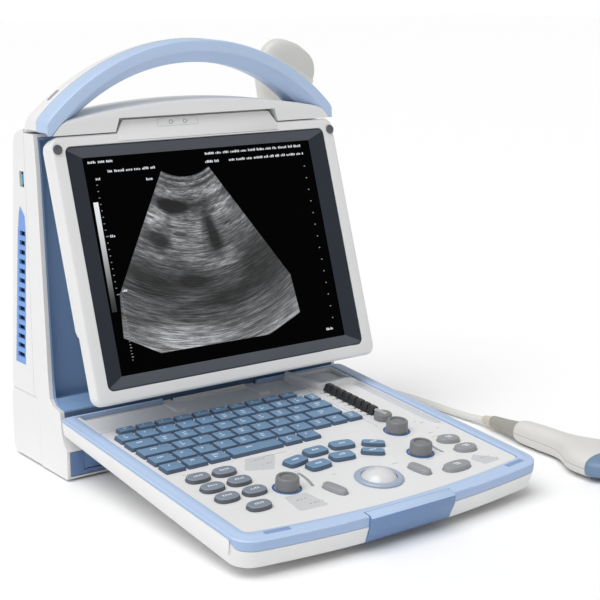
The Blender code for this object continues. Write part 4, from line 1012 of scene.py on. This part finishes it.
def knobs():
    profile = [
        (2.6, -9, False), (2.6, -0.6, False), (9.9, -0.6, False), (10.0, 0.2, True), (9.9, 0.9, True),
        (9.6, 7.8, True), (9.45, 8.7, False), (9.0, 9.4, False), (8.3, 9.8, False), (7.2, 9.8, False),
        (6.7, 9.5, False), (6.5, 8.3, False), (6.2, 8.1, False), (0.01, 8.2, False),
    ]
    ring = [(12.3, -1.0), (12.3, -0.75), (12.0, -0.6), (10.4, -0.6), (10.4, -1.0)]
    places = (("gain_knob", -68.5, 218.6), ("depth_knob", 89.7, 169.0), ("menu_knob", 75.2, 217.5))
    for name, u, v in places:
        loops = ribbed(profile, 48, 0.06, (u, -v), 192)
        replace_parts(skin(name + "_cap", loops, "knob", name, sharp=40), name)
        loops = lathe(ring, 64, (u, -v))
        skin(name + "_ring", loops, "knob_ring", "panel", ring=True)


def dial():
    profile = [
        (2.6, -9, False), (2.6, -0.6, False), (8.2, -0.6, False), (8.2, 0.1, True), (8.1, 4.4, True),
        (7.9, 5.0, False), (7.3, 5.5, False), (6.4, 5.6, False), (5.8, 5.2, False), (0.01, 5.2, False),
    ]
    loops = ribbed(profile, 30, 0.12, DIAL_AT, 180)
    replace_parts(skin("focus_dial_cap", loops, "knob", "focus_dial", sharp=40), "focus_dial")
    outline = turned(rounded_box(2.2, -5.0, 10.5, 1.8, 5), DIAL_AT, 0.1)
    skin("focus_dial_lever", cushion(outline, 4.9, 6.4, 0.6, 0.3), "lever", "focus_dial")


def sliders():
    ticks = Batch()
    thick = SLIDER_PITCH / 2 - 0.35
    for i in range(8):
        v = SLIDER_V + SLIDER_PITCH * i
        name = f"gain_slider_{i + 1}"
        loops = []
        for half, thinner, radius, height in (
            (5.0, 0, 0.7, -0.6), (5.0, 0, 0.7, 0.6), (3.9, 0.2, 0.7, 2.6), (3.1, 0.5, 0.7, 6.0),
            (2.4, 1.2, 0.6, 6.6),
        ):
            outline = rounded_box(half, thinner - thick, thick - thinner, radius, 3)
            loops.append([(SLIDER_U + a, -v + b, height) for a, b in outline])
        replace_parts(skin(name + "_cap", loops, "black", name, sharp=40), name)
        mark(ticks, 86.6, 89.6, -v - 0.4, -v + 0.4, DECK_W)
    ticks.piece("slider_ticks", "ink", "panel", "dark_plastic")


def ball():
    profile = []
    for i in range(41):
        angle = math.pi * (i / 40 - 0.5)
        profile.append((BALL_R * math.cos(angle), BALL_W + BALL_R * math.sin(angle)))
    centre = (BALL_AT[0], -BALL_AT[1])
    loops = lathe(profile, 72, centre)
    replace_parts(skin("trackball_skin", loops, "ball", "trackball", sharp=180), "trackball")
    inner = math.sqrt(BALL_R**2 - (1.2 - BALL_W) ** 2) + 0.5
    ring = [(16.6, -0.7), (20.8, -0.7), (20.8, 0.3), (19.2, 1.8), (16.2, 1.5), (inner, 1.2), (16.6, -0.7)]
    loops = lathe(fillet(ring, 0.8)[:-1], 72, centre)
    piece = skin(
        "trackball_ring_skin", loops, "ring_blue", "panel", ring=True, sharp=50
    )
    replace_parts(piece, "trackball_ring")


def path_frames(points):
    """Each point of a path on the panel, with the direction across the path there."""
    for i, point in enumerate(points):
        along = Vector(points[min(i + 1, len(points) - 1)]) - Vector(points[max(i - 1, 0)])
        yield Vector(point), Vector((-along.y, along.x, 0)).normalized()


def swept(points, section):
    """A section of (across, height) points swept along a path on the panel."""
    return [
        [tuple(point + side * a + Vector((0, 0, b))) for a, b in section]
        for point, side in path_frames(points)
    ]


def accessory_tray():
    """The raised lip round the tray at the panel's rear right corner, and the trough that runs forward."""
    rim = [
        (86.6, -7.5), (90.2, -25), (94.6, -44), (98.4, -50.2), (107, -51.2), (116, -49.6), (125, -48.4),
        (131, -51), (133.2, -56),
    ]
    lip = [
        (-3.2, -1.6), (-3.6, 2.6), (-3.4, 3.8), (-2.7, 4.4), (-1.6, 4.6), (-0.2, 4.5), (1.0, 3.8),
        (2.4, 0.6), (3.6, -3.0), (3.9, -5.7), (0, -5.7),
    ]
    side = [
        (129.6, -50), (129.6, -90), (129.6, -130), (129.8, -160), (131, -171), (135, -175.4),
        (141.2, -175.6),
    ]
    edge = [(-0.9, -1.2), (-0.9, -0.6), (-0.5, -0.3), (0.2, -0.3), (0.6, -0.6), (0.7, -1.6)]
    for name, knots, step, section in (("tray_lip", rim, 1.8, lip), ("trough_edge", side, 2.5, edge)):
        path = [tuple(p) for p in smooth_path([(a, b, 0) for a, b in knots], step)]
        skin(name, swept(path, section), "white", "panel")
    # The liners of the tray and the trough are painted grey: painted shade on the recesses' floors.
    liner = rounded([(100, -45, 4), (140.6, -45, 4), (140.6, -6.6, 3.5), (90.0, -6.6, 2.5)], 5)
    groove = rounded([(130.8, -173.6, 4.5), (141.5, -173.6, 4.5), (141.5, -52.4, 3), (130.8, -52.4, 3)], 6)
    for name, outline, low, mid, top, soft in (
        ("tray_liner", liner, -5.35, -5.0, -4.8, 0.4), ("trough_liner", groove, -2.95, -2.7, -2.6, 0.3),
    ):
        loops = [at_z(outline, low), at_z(outline, mid), at_z(inset(outline, soft), top)]
        skin(name, loops, "tray_grey", "panel")


def deck_prints():
    """Label patches, arcs and short marks printed on the deck."""
    pale, dark = Batch(), Batch()
    patches = [
        [(-65, 154), (-35, 156), (-55, 183), (-79, 174)], [(-81, 231), (-60, 232), (-57, 260), (-85, 258)],
        [(113, 243), (131, 262), (108, 264), (104, 250)],
    ]
    for patch in patches:
        outline = rounded([(u, -v, 3) for u, v in patch][::-1], 4)
        pale.add([at_z(outline, DECK_W), at_z(outline, DECK_W + 0.04)])
    flat_tube = [(1.5 * math.cos(a), 0.18 * math.sin(a)) for a in (math.pi * k / 4 for k in range(8))]
    for start, end, bend in (((-43, -199), (-48, -226), 6), ((95, -209), (94, -226), -4)):
        a, b = Vector((*start, DECK_W + 0.05)), Vector((*end, DECK_W + 0.05))
        points = [a.lerp(b, t) + Vector((bend * t * (1 - t), 0, 0)) for t in (i / 12 for i in range(13))]
        dark.add(swept(points, flat_tube))
    for u, v, count in (
        (-128, 157, 6), (-48, 157.5, 12), (-14, 147, 4), (118, 160, 2), (121, 165, 3), (87, 184, 5),
        (92, 196, 3), (112, 187, 3), (126, 182, 2), (70, 232, 5), (38, 224, 3), (108, 196, 4),
        (-20, 216, 2), (-44, 196, 3),
    ):
        for k in range(count):
            left = u + 2.0 * k
            mark(dark, left, left + rng.uniform(0.9, 1.4), -v - rng.uniform(0.2, 0.7), -v + 0.5, DECK_W)
    for u, v, count in (
        (-64, 160, 4), (-58, 170, 3), (-76, 241, 3), (-70, 251, 4), (114, 252, 3), (118, 258, 3),
    ):
        for k in range(count):
            left = u + 4.0 * k
            mark(dark, left, left + rng.uniform(1.0, 3.0), -v - 0.6, -v + 0.5, DECK_W + 0.02)
    pale.piece("label_patches", "pale_ink", "panel", "white_plastic")
    dark.piece("printed_arcs", "ink", "panel", "dark_plastic")


def front_pads():
    """Two soft pads on the trim, near the front corners, which the folded cap rests on."""
    batch = Batch()
    for u, v, half, turn in ((-121, 277.4, 11.5, 0.123), (130, 276.0, 11.5, -0.134)):
        outline = turned(rounded_box(half, -2.7, 2.7, 1.0, 5), (u, -v), -turn)
        batch.add(cushion(outline, -1.2, 0.25, 0.4, 0.2))
    batch.piece("panel_pads", "pad_blue", "panel", "panel_blue_plastic")


def panel():
    panel_base()
    softened("panel_deck", "white", "panel", 0.35, 2)
    panel_trim()
    latch()
    keyboard()
    blades()
    left_ovals()
    press_keys()
    knobs()
    dial()
    sliders()
    ball()
    accessory_tray()
    deck_prints()
    front_pads()
    for side in ("left", "right"):
        repaint("panel_foot_" + side, "rubber")
    repaint("panel_hinge_shaft", "steel")
    repaint("trackball_cup", "dark")


# The screen's pieces. Depth runs along Y and v runs down, along -Z.


def frame_ring(half, top, bottom, radius, depth):
    return at_y(rounded_box(half, -bottom, -top, radius, 8), depth)


def screen_frame():
    loops = [frame_ring(152.5 - i, i, 234 - i, 9.5 - i, d) for i, d in (
        (3.2, 0), (1.8, 0.15), (0.8, 0.6), (0.2, 1.4), (0, 2.4), (0, 12.1), (0.4, 12.5),
    )]
    inner = ((0, 12.5), (0, 0.4), (0.4, 0))
    loops += [frame_ring(139.85 + i, 9.3 - i, 222.8 + i, 6 + i, d) for i, d in inner]
    piece = skin("screen_frame_skin", loops, "frame", "screen", ring=True)
    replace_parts(piece, "screen_frame")
    tab = rounded([
        (-87.4, -8.4, 0.3), (87.4, -8.4, 0.3), (86.6, -1, 2), (79, 11.0, 3.2), (-79, 11.0, 3.2),
        (-86.6, -1, 2),
    ], 5)
    ends = ((0.7, -0.02), (0.2, 0.2), (0, 0.8), (0, 5.6), (0.4, 6.0))
    loops = [at_y(inset(tab, by), y) for by, y in ends]
    skin("frame_tab", loops, "frame", "screen")
    knuckle = rounded([(a, b, 1.0) for a, b in (
        (2, 9), (6, 17.5), (8.5, 20.4), (12, 21.3), (15.5, 20.4), (17.6, 18), (18.3, 15), (17.4, 12),
        (12.4, 6),
    )], 3)
    loops = [at_x(inset(knuckle, by), x) for by, x in ((0.5, -78.5), (0, -78), (0, 78), (0.5, 78.5))]
    skin("frame_barrel", loops, "frame", "screen")


def tab_marks():
    """A thin oval outline on the frame's tab, with two rings and four dots in it."""
    marks = Batch()
    plate = rounded_box(21.6, 2.8, 10.0, 1.0, 3, -22.6)
    inner = inset(plate, 0.25)
    marks.add([at_y(plate, -0.05), at_y(inner, -0.05), at_y(inner, 0.02), at_y(plate, 0.02)], ring=True)
    for u in (-29.9, -15.0):
        wide, small = circle(2.0, 24, (u, 6.4)), circle(1.3, 24, (u, 6.4))
        marks.add([at_y(wide, -0.06), at_y(small, -0.06), at_y(small, 0.02), at_y(wide, 0.02)], ring=True)
        for a, b in ((3.1, 0.0), (3.6, 1.0)):
            dot = circle(0.4, 10, (u + a, 6.4 + b))
            marks.add([at_y(dot, -0.06), at_y(dot, 0.02)])
    marks.piece("tab_marks", "ink", "screen", "white_plastic")


def bezel():
    def opening(wider, radius):
        return rounded_box(WINDOW_HALF + wider, -WINDOW_BOTTOM - wider, -WINDOW_TOP + wider, radius, 8)

    outer = rounded_box(139.55, -222.5, -9.6, 5.7, 8)
    loops = [
        at_y(outer, 0.9), at_y(rounded_box(139.2, -222.1, -10.0, 5.4, 8), 0.8),
        at_y(rounded_box(138.6, -221.5, -10.6, 5.0, 8), 0.85), at_y(opening(0.4, 0.8), 4.1),
        at_y(opening(0, 0.6), 4.3), at_y(opening(0, 0.6), 4.7), at_y(outer, 4.7),
    ]
    piece = skin("screen_bezel_skin", loops, "bezel", "screen", ring=True, sharp=25)
    # The facets of the opening that face up and down take the lighter paint: a painted highlight.
    piece.data.materials.append(PAINT["lit_bezel"])
    up = (SCREEN.to_3x3() @ Vector((0, 0, 1))).normalized()
    for face in piece.data.polygons:
        if abs(face.normal.dot(up)) > 0.12:
            face.material_index = 1
    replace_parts(piece, "screen_bezel")
    outline = rounded_box(138.5, -221.5, -10.6, 5, 8)
    loops = [at_y(outline, GLASS_Y), at_y(outline, 10)]
    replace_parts(skin("display_glass", loops, "glass", "screen"), "lcd_panel")


FAN_APEX = (-21.4, -4.3)
FAN_START = math.radians(-31.4)
FAN_END = math.radians(32.2)
FAN_INNER = 47.8
FAN_REACH = 212.0


def fan_limit(angle):
    """How far the picture reaches from the apex in a direction, before one of its cut edges."""
    direction = (math.sin(angle), math.cos(angle))
    corners = [(-110, 139), (-114, 179), (-80, 197.4), (37, 198), (76, 182.5), (73, 145.6)]
    best = FAN_REACH
    for (au, av), (bu, bv) in zip(corners, corners[1:]):
        du, dv = bu - au, bv - av
        cross = direction[0] * dv - direction[1] * du
        if abs(cross) < 1e-9:
            continue
        reach = ((au - FAN_APEX[0]) * dv - (av - FAN_APEX[1]) * du) / cross
        if reach > 100:
            best = min(best, reach)
    return best


def scan_fan():
    across, down = 192, 40
    mesh = bpy.data.meshes.new("scan_fan")
    points, coords, faces = [], [], []
    for i in range(across + 1):
        angle = FAN_START + (FAN_END - FAN_START) * i / across
        limit = fan_limit(angle)
        for k in range(down + 1):
            radius = FAN_INNER + (limit - FAN_INNER) * k / down
            u = FAN_APEX[0] + radius * math.sin(angle)
            v = FAN_APEX[1] + radius * math.cos(angle)
            points.append(SCREEN @ Vector((u, PICTURE_Y, -v)))
            coords.append((i / across, (radius - FAN_INNER) / (FAN_REACH - FAN_INNER)))
    for i in range(across):
        for k in range(down):
            a = i * (down + 1) + k
            faces.append((a, a + 1, a + down + 2, a + down + 1))
    mesh.from_pydata(points, [], faces)
    layer = mesh.uv_layers.new(name="fan")
    for loop in mesh.loops:
        layer.data[loop.index].uv = coords[loop.vertex_index]
    finished(linked("scan_picture", mesh), "scan", "screen")


def screen_bar(batch, u0, u1, v0, v1):
    outline = rounded_rect(u0, -v1, u1, -v0, 0.1, 1)
    batch.add([at_y(outline, PICTURE_Y - 0.04), at_y(outline, PICTURE_Y + 0.03)])


def caption(batch, start, end, v):
    """A row of little upright bars in groups, which stands for a caption and spells nothing."""
    u = start
    while u < end:
        for _ in range(rng.randint(3, 6)):
            if u > end:
                break
            tall = CAPTION * rng.uniform(0.55, 1.0)
            screen_bar(batch, u, u + rng.uniform(0.8, 1.3), v + CAPTION - tall, v + CAPTION)
            u += 1.7
        u += 1.5


def screen_graphics():
    """Captions that spell nothing, ticks, and a scale of greys."""
    bright, faint = Batch(), Batch()
    for start, end, v in (
        (-118, -93, 22.5), (-100, -53, 31.5), (3, 112, 23), (2, 18, 30.6), (28, 113, 30.6),
        (103, 113, 201.5), (-63, -57, 41.5), (-113, -108, 37.5), (-109, -104, 88.5), (-107, -102, 137),
    ):
        caption(bright, start, end, v)
    for i in range(14):
        v = 44 + 11.4 * i
        screen_bar(faint, 112.2, 113.6, v, v + 0.9)
    for i in range(19):
        v = 38 + 5.7 * i
        screen_bar(faint, -113.4 + 0.02 * i, (-110.2 if i % 9 == 0 else -112.0) + 0.02 * i, v, v + 0.7)
    for i in range(22):
        v = 142 + 2.7 * i
        screen_bar(faint, -109.5, -108.6 + 0.5 * (i % 3), v, v + 0.7)
    bright.piece("screen_marks", "screen_ink", "screen", "screen_glass")
    faint.piece("screen_faint_marks", "grey_ink", "screen", "screen_glass")
    steps = 24
    scale = Batch()
    for i in range(steps):
        v = SCALE_TOP + SCALE_LENGTH * i / steps
        u = -118.4 - 0.9 * i / steps
        outline = rounded_rect(u - 1.2, -(v + SCALE_LENGTH / steps), u + 3.6, -v, 0.01, 1)
        scale.add([at_y(outline, PICTURE_Y - 0.03), at_y(outline, PICTURE_Y + 0.03)])
    bar = scale.piece("grey_scale", "screen_ink", "screen", "screen_glass")
    bar.data.materials.clear()
    bar.data.materials.append(grey_scale_material())


def grey_scale_material():
    """White at the top and black at the bottom, by the height in the scene."""
    made, tree, shader = glowing("grey_scale", (0.95, 0.97, 1.0), 0.9)
    where = tree.nodes.new("ShaderNodeTexCoord").outputs["Object"]
    height = node(tree, "ShaderNodeSeparateXYZ", Vector=where).outputs[2]
    top, low = ((SCREEN @ Vector((0, PICTURE_Y, -v))).z for v in (SCALE_TOP, SCALE_TOP + SCALE_LENGTH))
    limits = {"From_Min": low, "From_Max": top, "To_Min": 0.0, "To_Max": 0.8}
    fade = node(tree, "ShaderNodeMapRange", Value=height, **limits)
    fade.interpolation_type = "SMOOTHSTEP"
    feed(tree, shader.inputs["Emission Strength"], fade.outputs["Result"])
    return made


def bumpers():
    profile = [(4.2, -0.3), (4.3, -0.5), (4.3, -1.2), (3.9, -1.6), (2.9, -1.6), (2.5, -1.0), (0.01, -0.9)]
    for name, u in (("bumper_left", -147.0), ("bumper_right", 147.5)):
        loops = [[(u + a, z, -11.5 + b) for a, b in circle(r, 32)] for r, z in profile]
        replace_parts(skin(name + "_pad", loops, "bumper", "screen"), name)


def screen():
    screen_frame()
    tab_marks()
    bezel()
    scan_fan()
    screen_graphics()
    bumpers()
    softened("screen_rear_cover", "white", "screen", 1.4)


# The tower's pieces.


def clamp(value, limit):
    return max(-limit, min(limit, value))


def arch(name, section, paint, steps=72):
    """A section swept along the handle's arc. Its ends stand on the housings, inside the tower's sides."""
    loops = []
    for i in range(steps + 1):
        angle = HANDLE_SWEEP * (2 * i / steps - 1)
        s, c = math.sin(angle), math.cos(angle)
        spread = min(abs(s) / math.sin(HANDLE_SPREAD), 1)
        loops.append([
            (clamp(r * s, HANDLE_HALF), y, max(HANDLE_CENTRE + r * c, HANDLE_FOOT))
            for r, y in section(spread)
        ])
    return skin(name, loops, paint, "tower", sharp=30)


def handle():
    front = rounded([
        (211.5, 20.5, 1.6), (210.7, 17, 1.4), (200.8, 16.3, 1.6), (190.5, 30, 3.0), (190.5, 38, 0.3),
        (211.5, 38, 0.3),
    ], 5)
    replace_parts(arch("handle_grip", lambda spread: front, "pale_blue"), "handle_front")

    def rear(spread):
        """The rear half is deeper towards its feet."""
        back = 46 + 15 * spread**2
        return rounded([
            (212.1, 38.3, 0.5), (190.8, 38.3, 0.5), (190.8, back - 3, 2.6), (194, back, 2.6),
            (207, back, 3.2), (212.1, back - 4.5, 3.2),
        ], 4)

    shell = arch("handle_shell", rear, "white")
    shell.data.materials.append(PAINT["pale_blue"])
    for face in shell.data.polygons:
        outward = Vector((face.center.x, 0, face.center.z - HANDLE_CENTRE * MM)).normalized()
        if face.normal.dot(outward) < -0.6:
            face.material_index = 1
    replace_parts(shell, "handle_rear")


def handle_label():
    """A dark grip strip let into the handle's rear half, at the upper left."""
    loops = []
    for radius in (STRIP_R - 1.0, STRIP_R + 0.45):
        loop = []
        for a, b in rounded_rect(0, -2.0, 13.5, 2.0, 1.9):
            angle = STRIP_AT + a / STRIP_R
            loop.append((radius * math.sin(angle), 45.5 + b, HANDLE_CENTRE + radius * math.cos(angle)))
        loops.append(loop)
    skin("handle_strip", loops, "ink", "tower")


def tower_plates():
    """Pieces drawn from the side: the fold's lining, the ledge, the vents' backs and a port."""
    lining = [(9.2, 39.2), (10.8, 45), (11.2, 52), (12.0, 59), (12.6, 61.2), (13.4, 61.2), (13.4, 39.2)]
    ledge = rounded([
        (12.5, 61.4, 0.3), (12.9, 62.9, 0.8), (26, 65.0, 2), (31.4, 70.4, 0.5), (31.4, 68, 0.4),
        (26, 63.4, 1), (14, 61.4, 0.3),
    ], 4)
    left_vent, right_vent = ([(70, low), (69, 236), (82, 236), (94, low)] for low in (92, 164))
    shell = rounded_rect(64.9, 256.9, 73.1, 270.7, 1, 4)
    tongue = rounded_rect(68, 259.5, 70.2, 268.2, 0.5, 3)
    for name, outline, x0, x1, paint, slot in (
        # The fold's lining is the bay's blue darkened: painted shade at the back of the well.
        ("fold_well_lining", lining, -150.2, 150.2, "lining", "dark_plastic"),
        ("bay_ledge", ledge, -150.0, 150.0, "bay_blue", "bay_blue_plastic"),
        ("vent_back_left", left_vent, -151.2, -150.6, "shadow", "dark_plastic"),
        ("vent_back_right", right_vent, 150.6, 151.2, "shadow", "dark_plastic"),
        ("side_port_shell", shell, -151.0, -150.2, "shadow", "dark_plastic"),
        ("side_port_tongue", tongue, -154.0, -151.0, "port_blue", "dark_plastic"),
    ):
        skin(name, [at_x(outline, x0), at_x(outline, x1)], paint, "tower")


def power_inlet():
    """Three pins in the recess of the rear pack."""
    batch = Batch()
    for x, z in ((47.0, 26.0), (52.0, 30.0), (57.0, 26.0)):
        outline = rounded_rect(x - 0.8, z - 2, x + 0.8, z + 2, 0.3, 2)
        batch.add([at_y(outline, 103.9), at_y(outline, 108)])
    batch.piece("inlet_pins", "steel", "tower", "steel")
    back = rounded_rect(40.4, 20.4, 63.6, 35.6, 2, 4)
    skin("inlet_lining", [at_y(back, 104.05), at_y(back, 104.3)], "dark", "tower")


def pack_screws():
    """Screw heads, in sunk rings, that hold the rear pack."""
    batch = Batch()
    profile = [(3.0, 0.0), (3.2, 0.25), (2.6, 0.5), (1.6, 0.5), (1.4, 0.1), (0.01, 0.1)]
    for x in (-140, 140):
        for z in (22, 46):
            batch.add([[(x + a, 109.6 + d, z + b) for a, b in circle(r, 24)] for r, d in profile])
    batch.piece("pack_screws", "steel", "tower", "steel")


def stored_probe():
    shell = [
        (-30, 5.6, 5.6, 2), (-29, 6.6, 6.6, 2), (-24, 9.2, 9.2, 2), (0, 12.3, 11.4, 2.2),
        (14, 13.2, 11.9, 2.3), (24, 16.4, 12.2, 2.45), (36, 25.6, 12.5, 2.6), (48, 33.0, 12.8, 2.8),
        (58, 35.6, 12.8, 2.8), (66, 35.6, 12.6, 2.8),
    ]
    lens = [
        (66.3, 34.6, 11.4, 2.8), (74, 33.0, 11.2, 2.8), (82, 28, 10.5, 2.7), (87, 20, 9.4, 2.5),
        (90, 7, 5, 2.3),
    ]
    for name, places, paint, slot, node_name in (
        ("stored_probe_case", shell, "probe", "probe_plastic", "stored_probe_shell"),
        ("stored_probe_face", lens, "pale_lens", "stored_lens_rubber", "stored_probe_lens"),
    ):
        loops = [at_z(oval(a, b, 48, squareness), z) for z, a, b, squareness in refined(places, 6)]
        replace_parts(skin(name, loops, paint, "stored_probe", sharp=60), node_name)


def tower():
    for name, paint, slot, width, segments in (
        ("front_housing", "white", "white_plastic", 1.2, 3),
        ("rear_housing", "white", "white_plastic", 1.6, 3),
        ("battery_pack", "white", "white_plastic", 1.6, 3),
        ("top_cap", "white", "white_plastic", 1.4, 3),
        ("screen_bay", "bay_blue", "bay_blue_plastic", 0.8, 3),
        ("service_hatch", "mid_blue", "panel_blue_plastic", 0.3, 2),
        ("vent_grille_left", "vent_blue", "pale_blue_plastic", 0.2, 2),
        ("vent_grille_right", "vent_blue", "pale_blue_plastic", 0.2, 2),
        ("probe_holder", "dark", "dark_plastic", 0.6, 3),
        ("probe_socket", "dark", "dark_plastic", 0.4, 2),
        ("trolley_plate", "steel", "steel", 0.3, 2),
    ):
        softened(name, paint, "tower", width, segments)
    repaint("screen_hinge_shaft", "steel")
    repaint("main_board", "board")
    handle()
    handle_label()
    tower_plates()
    power_inlet()
    pack_screws()
    stored_probe()


camera()
studio()
paints()
cords()
panel()
screen()
tower()
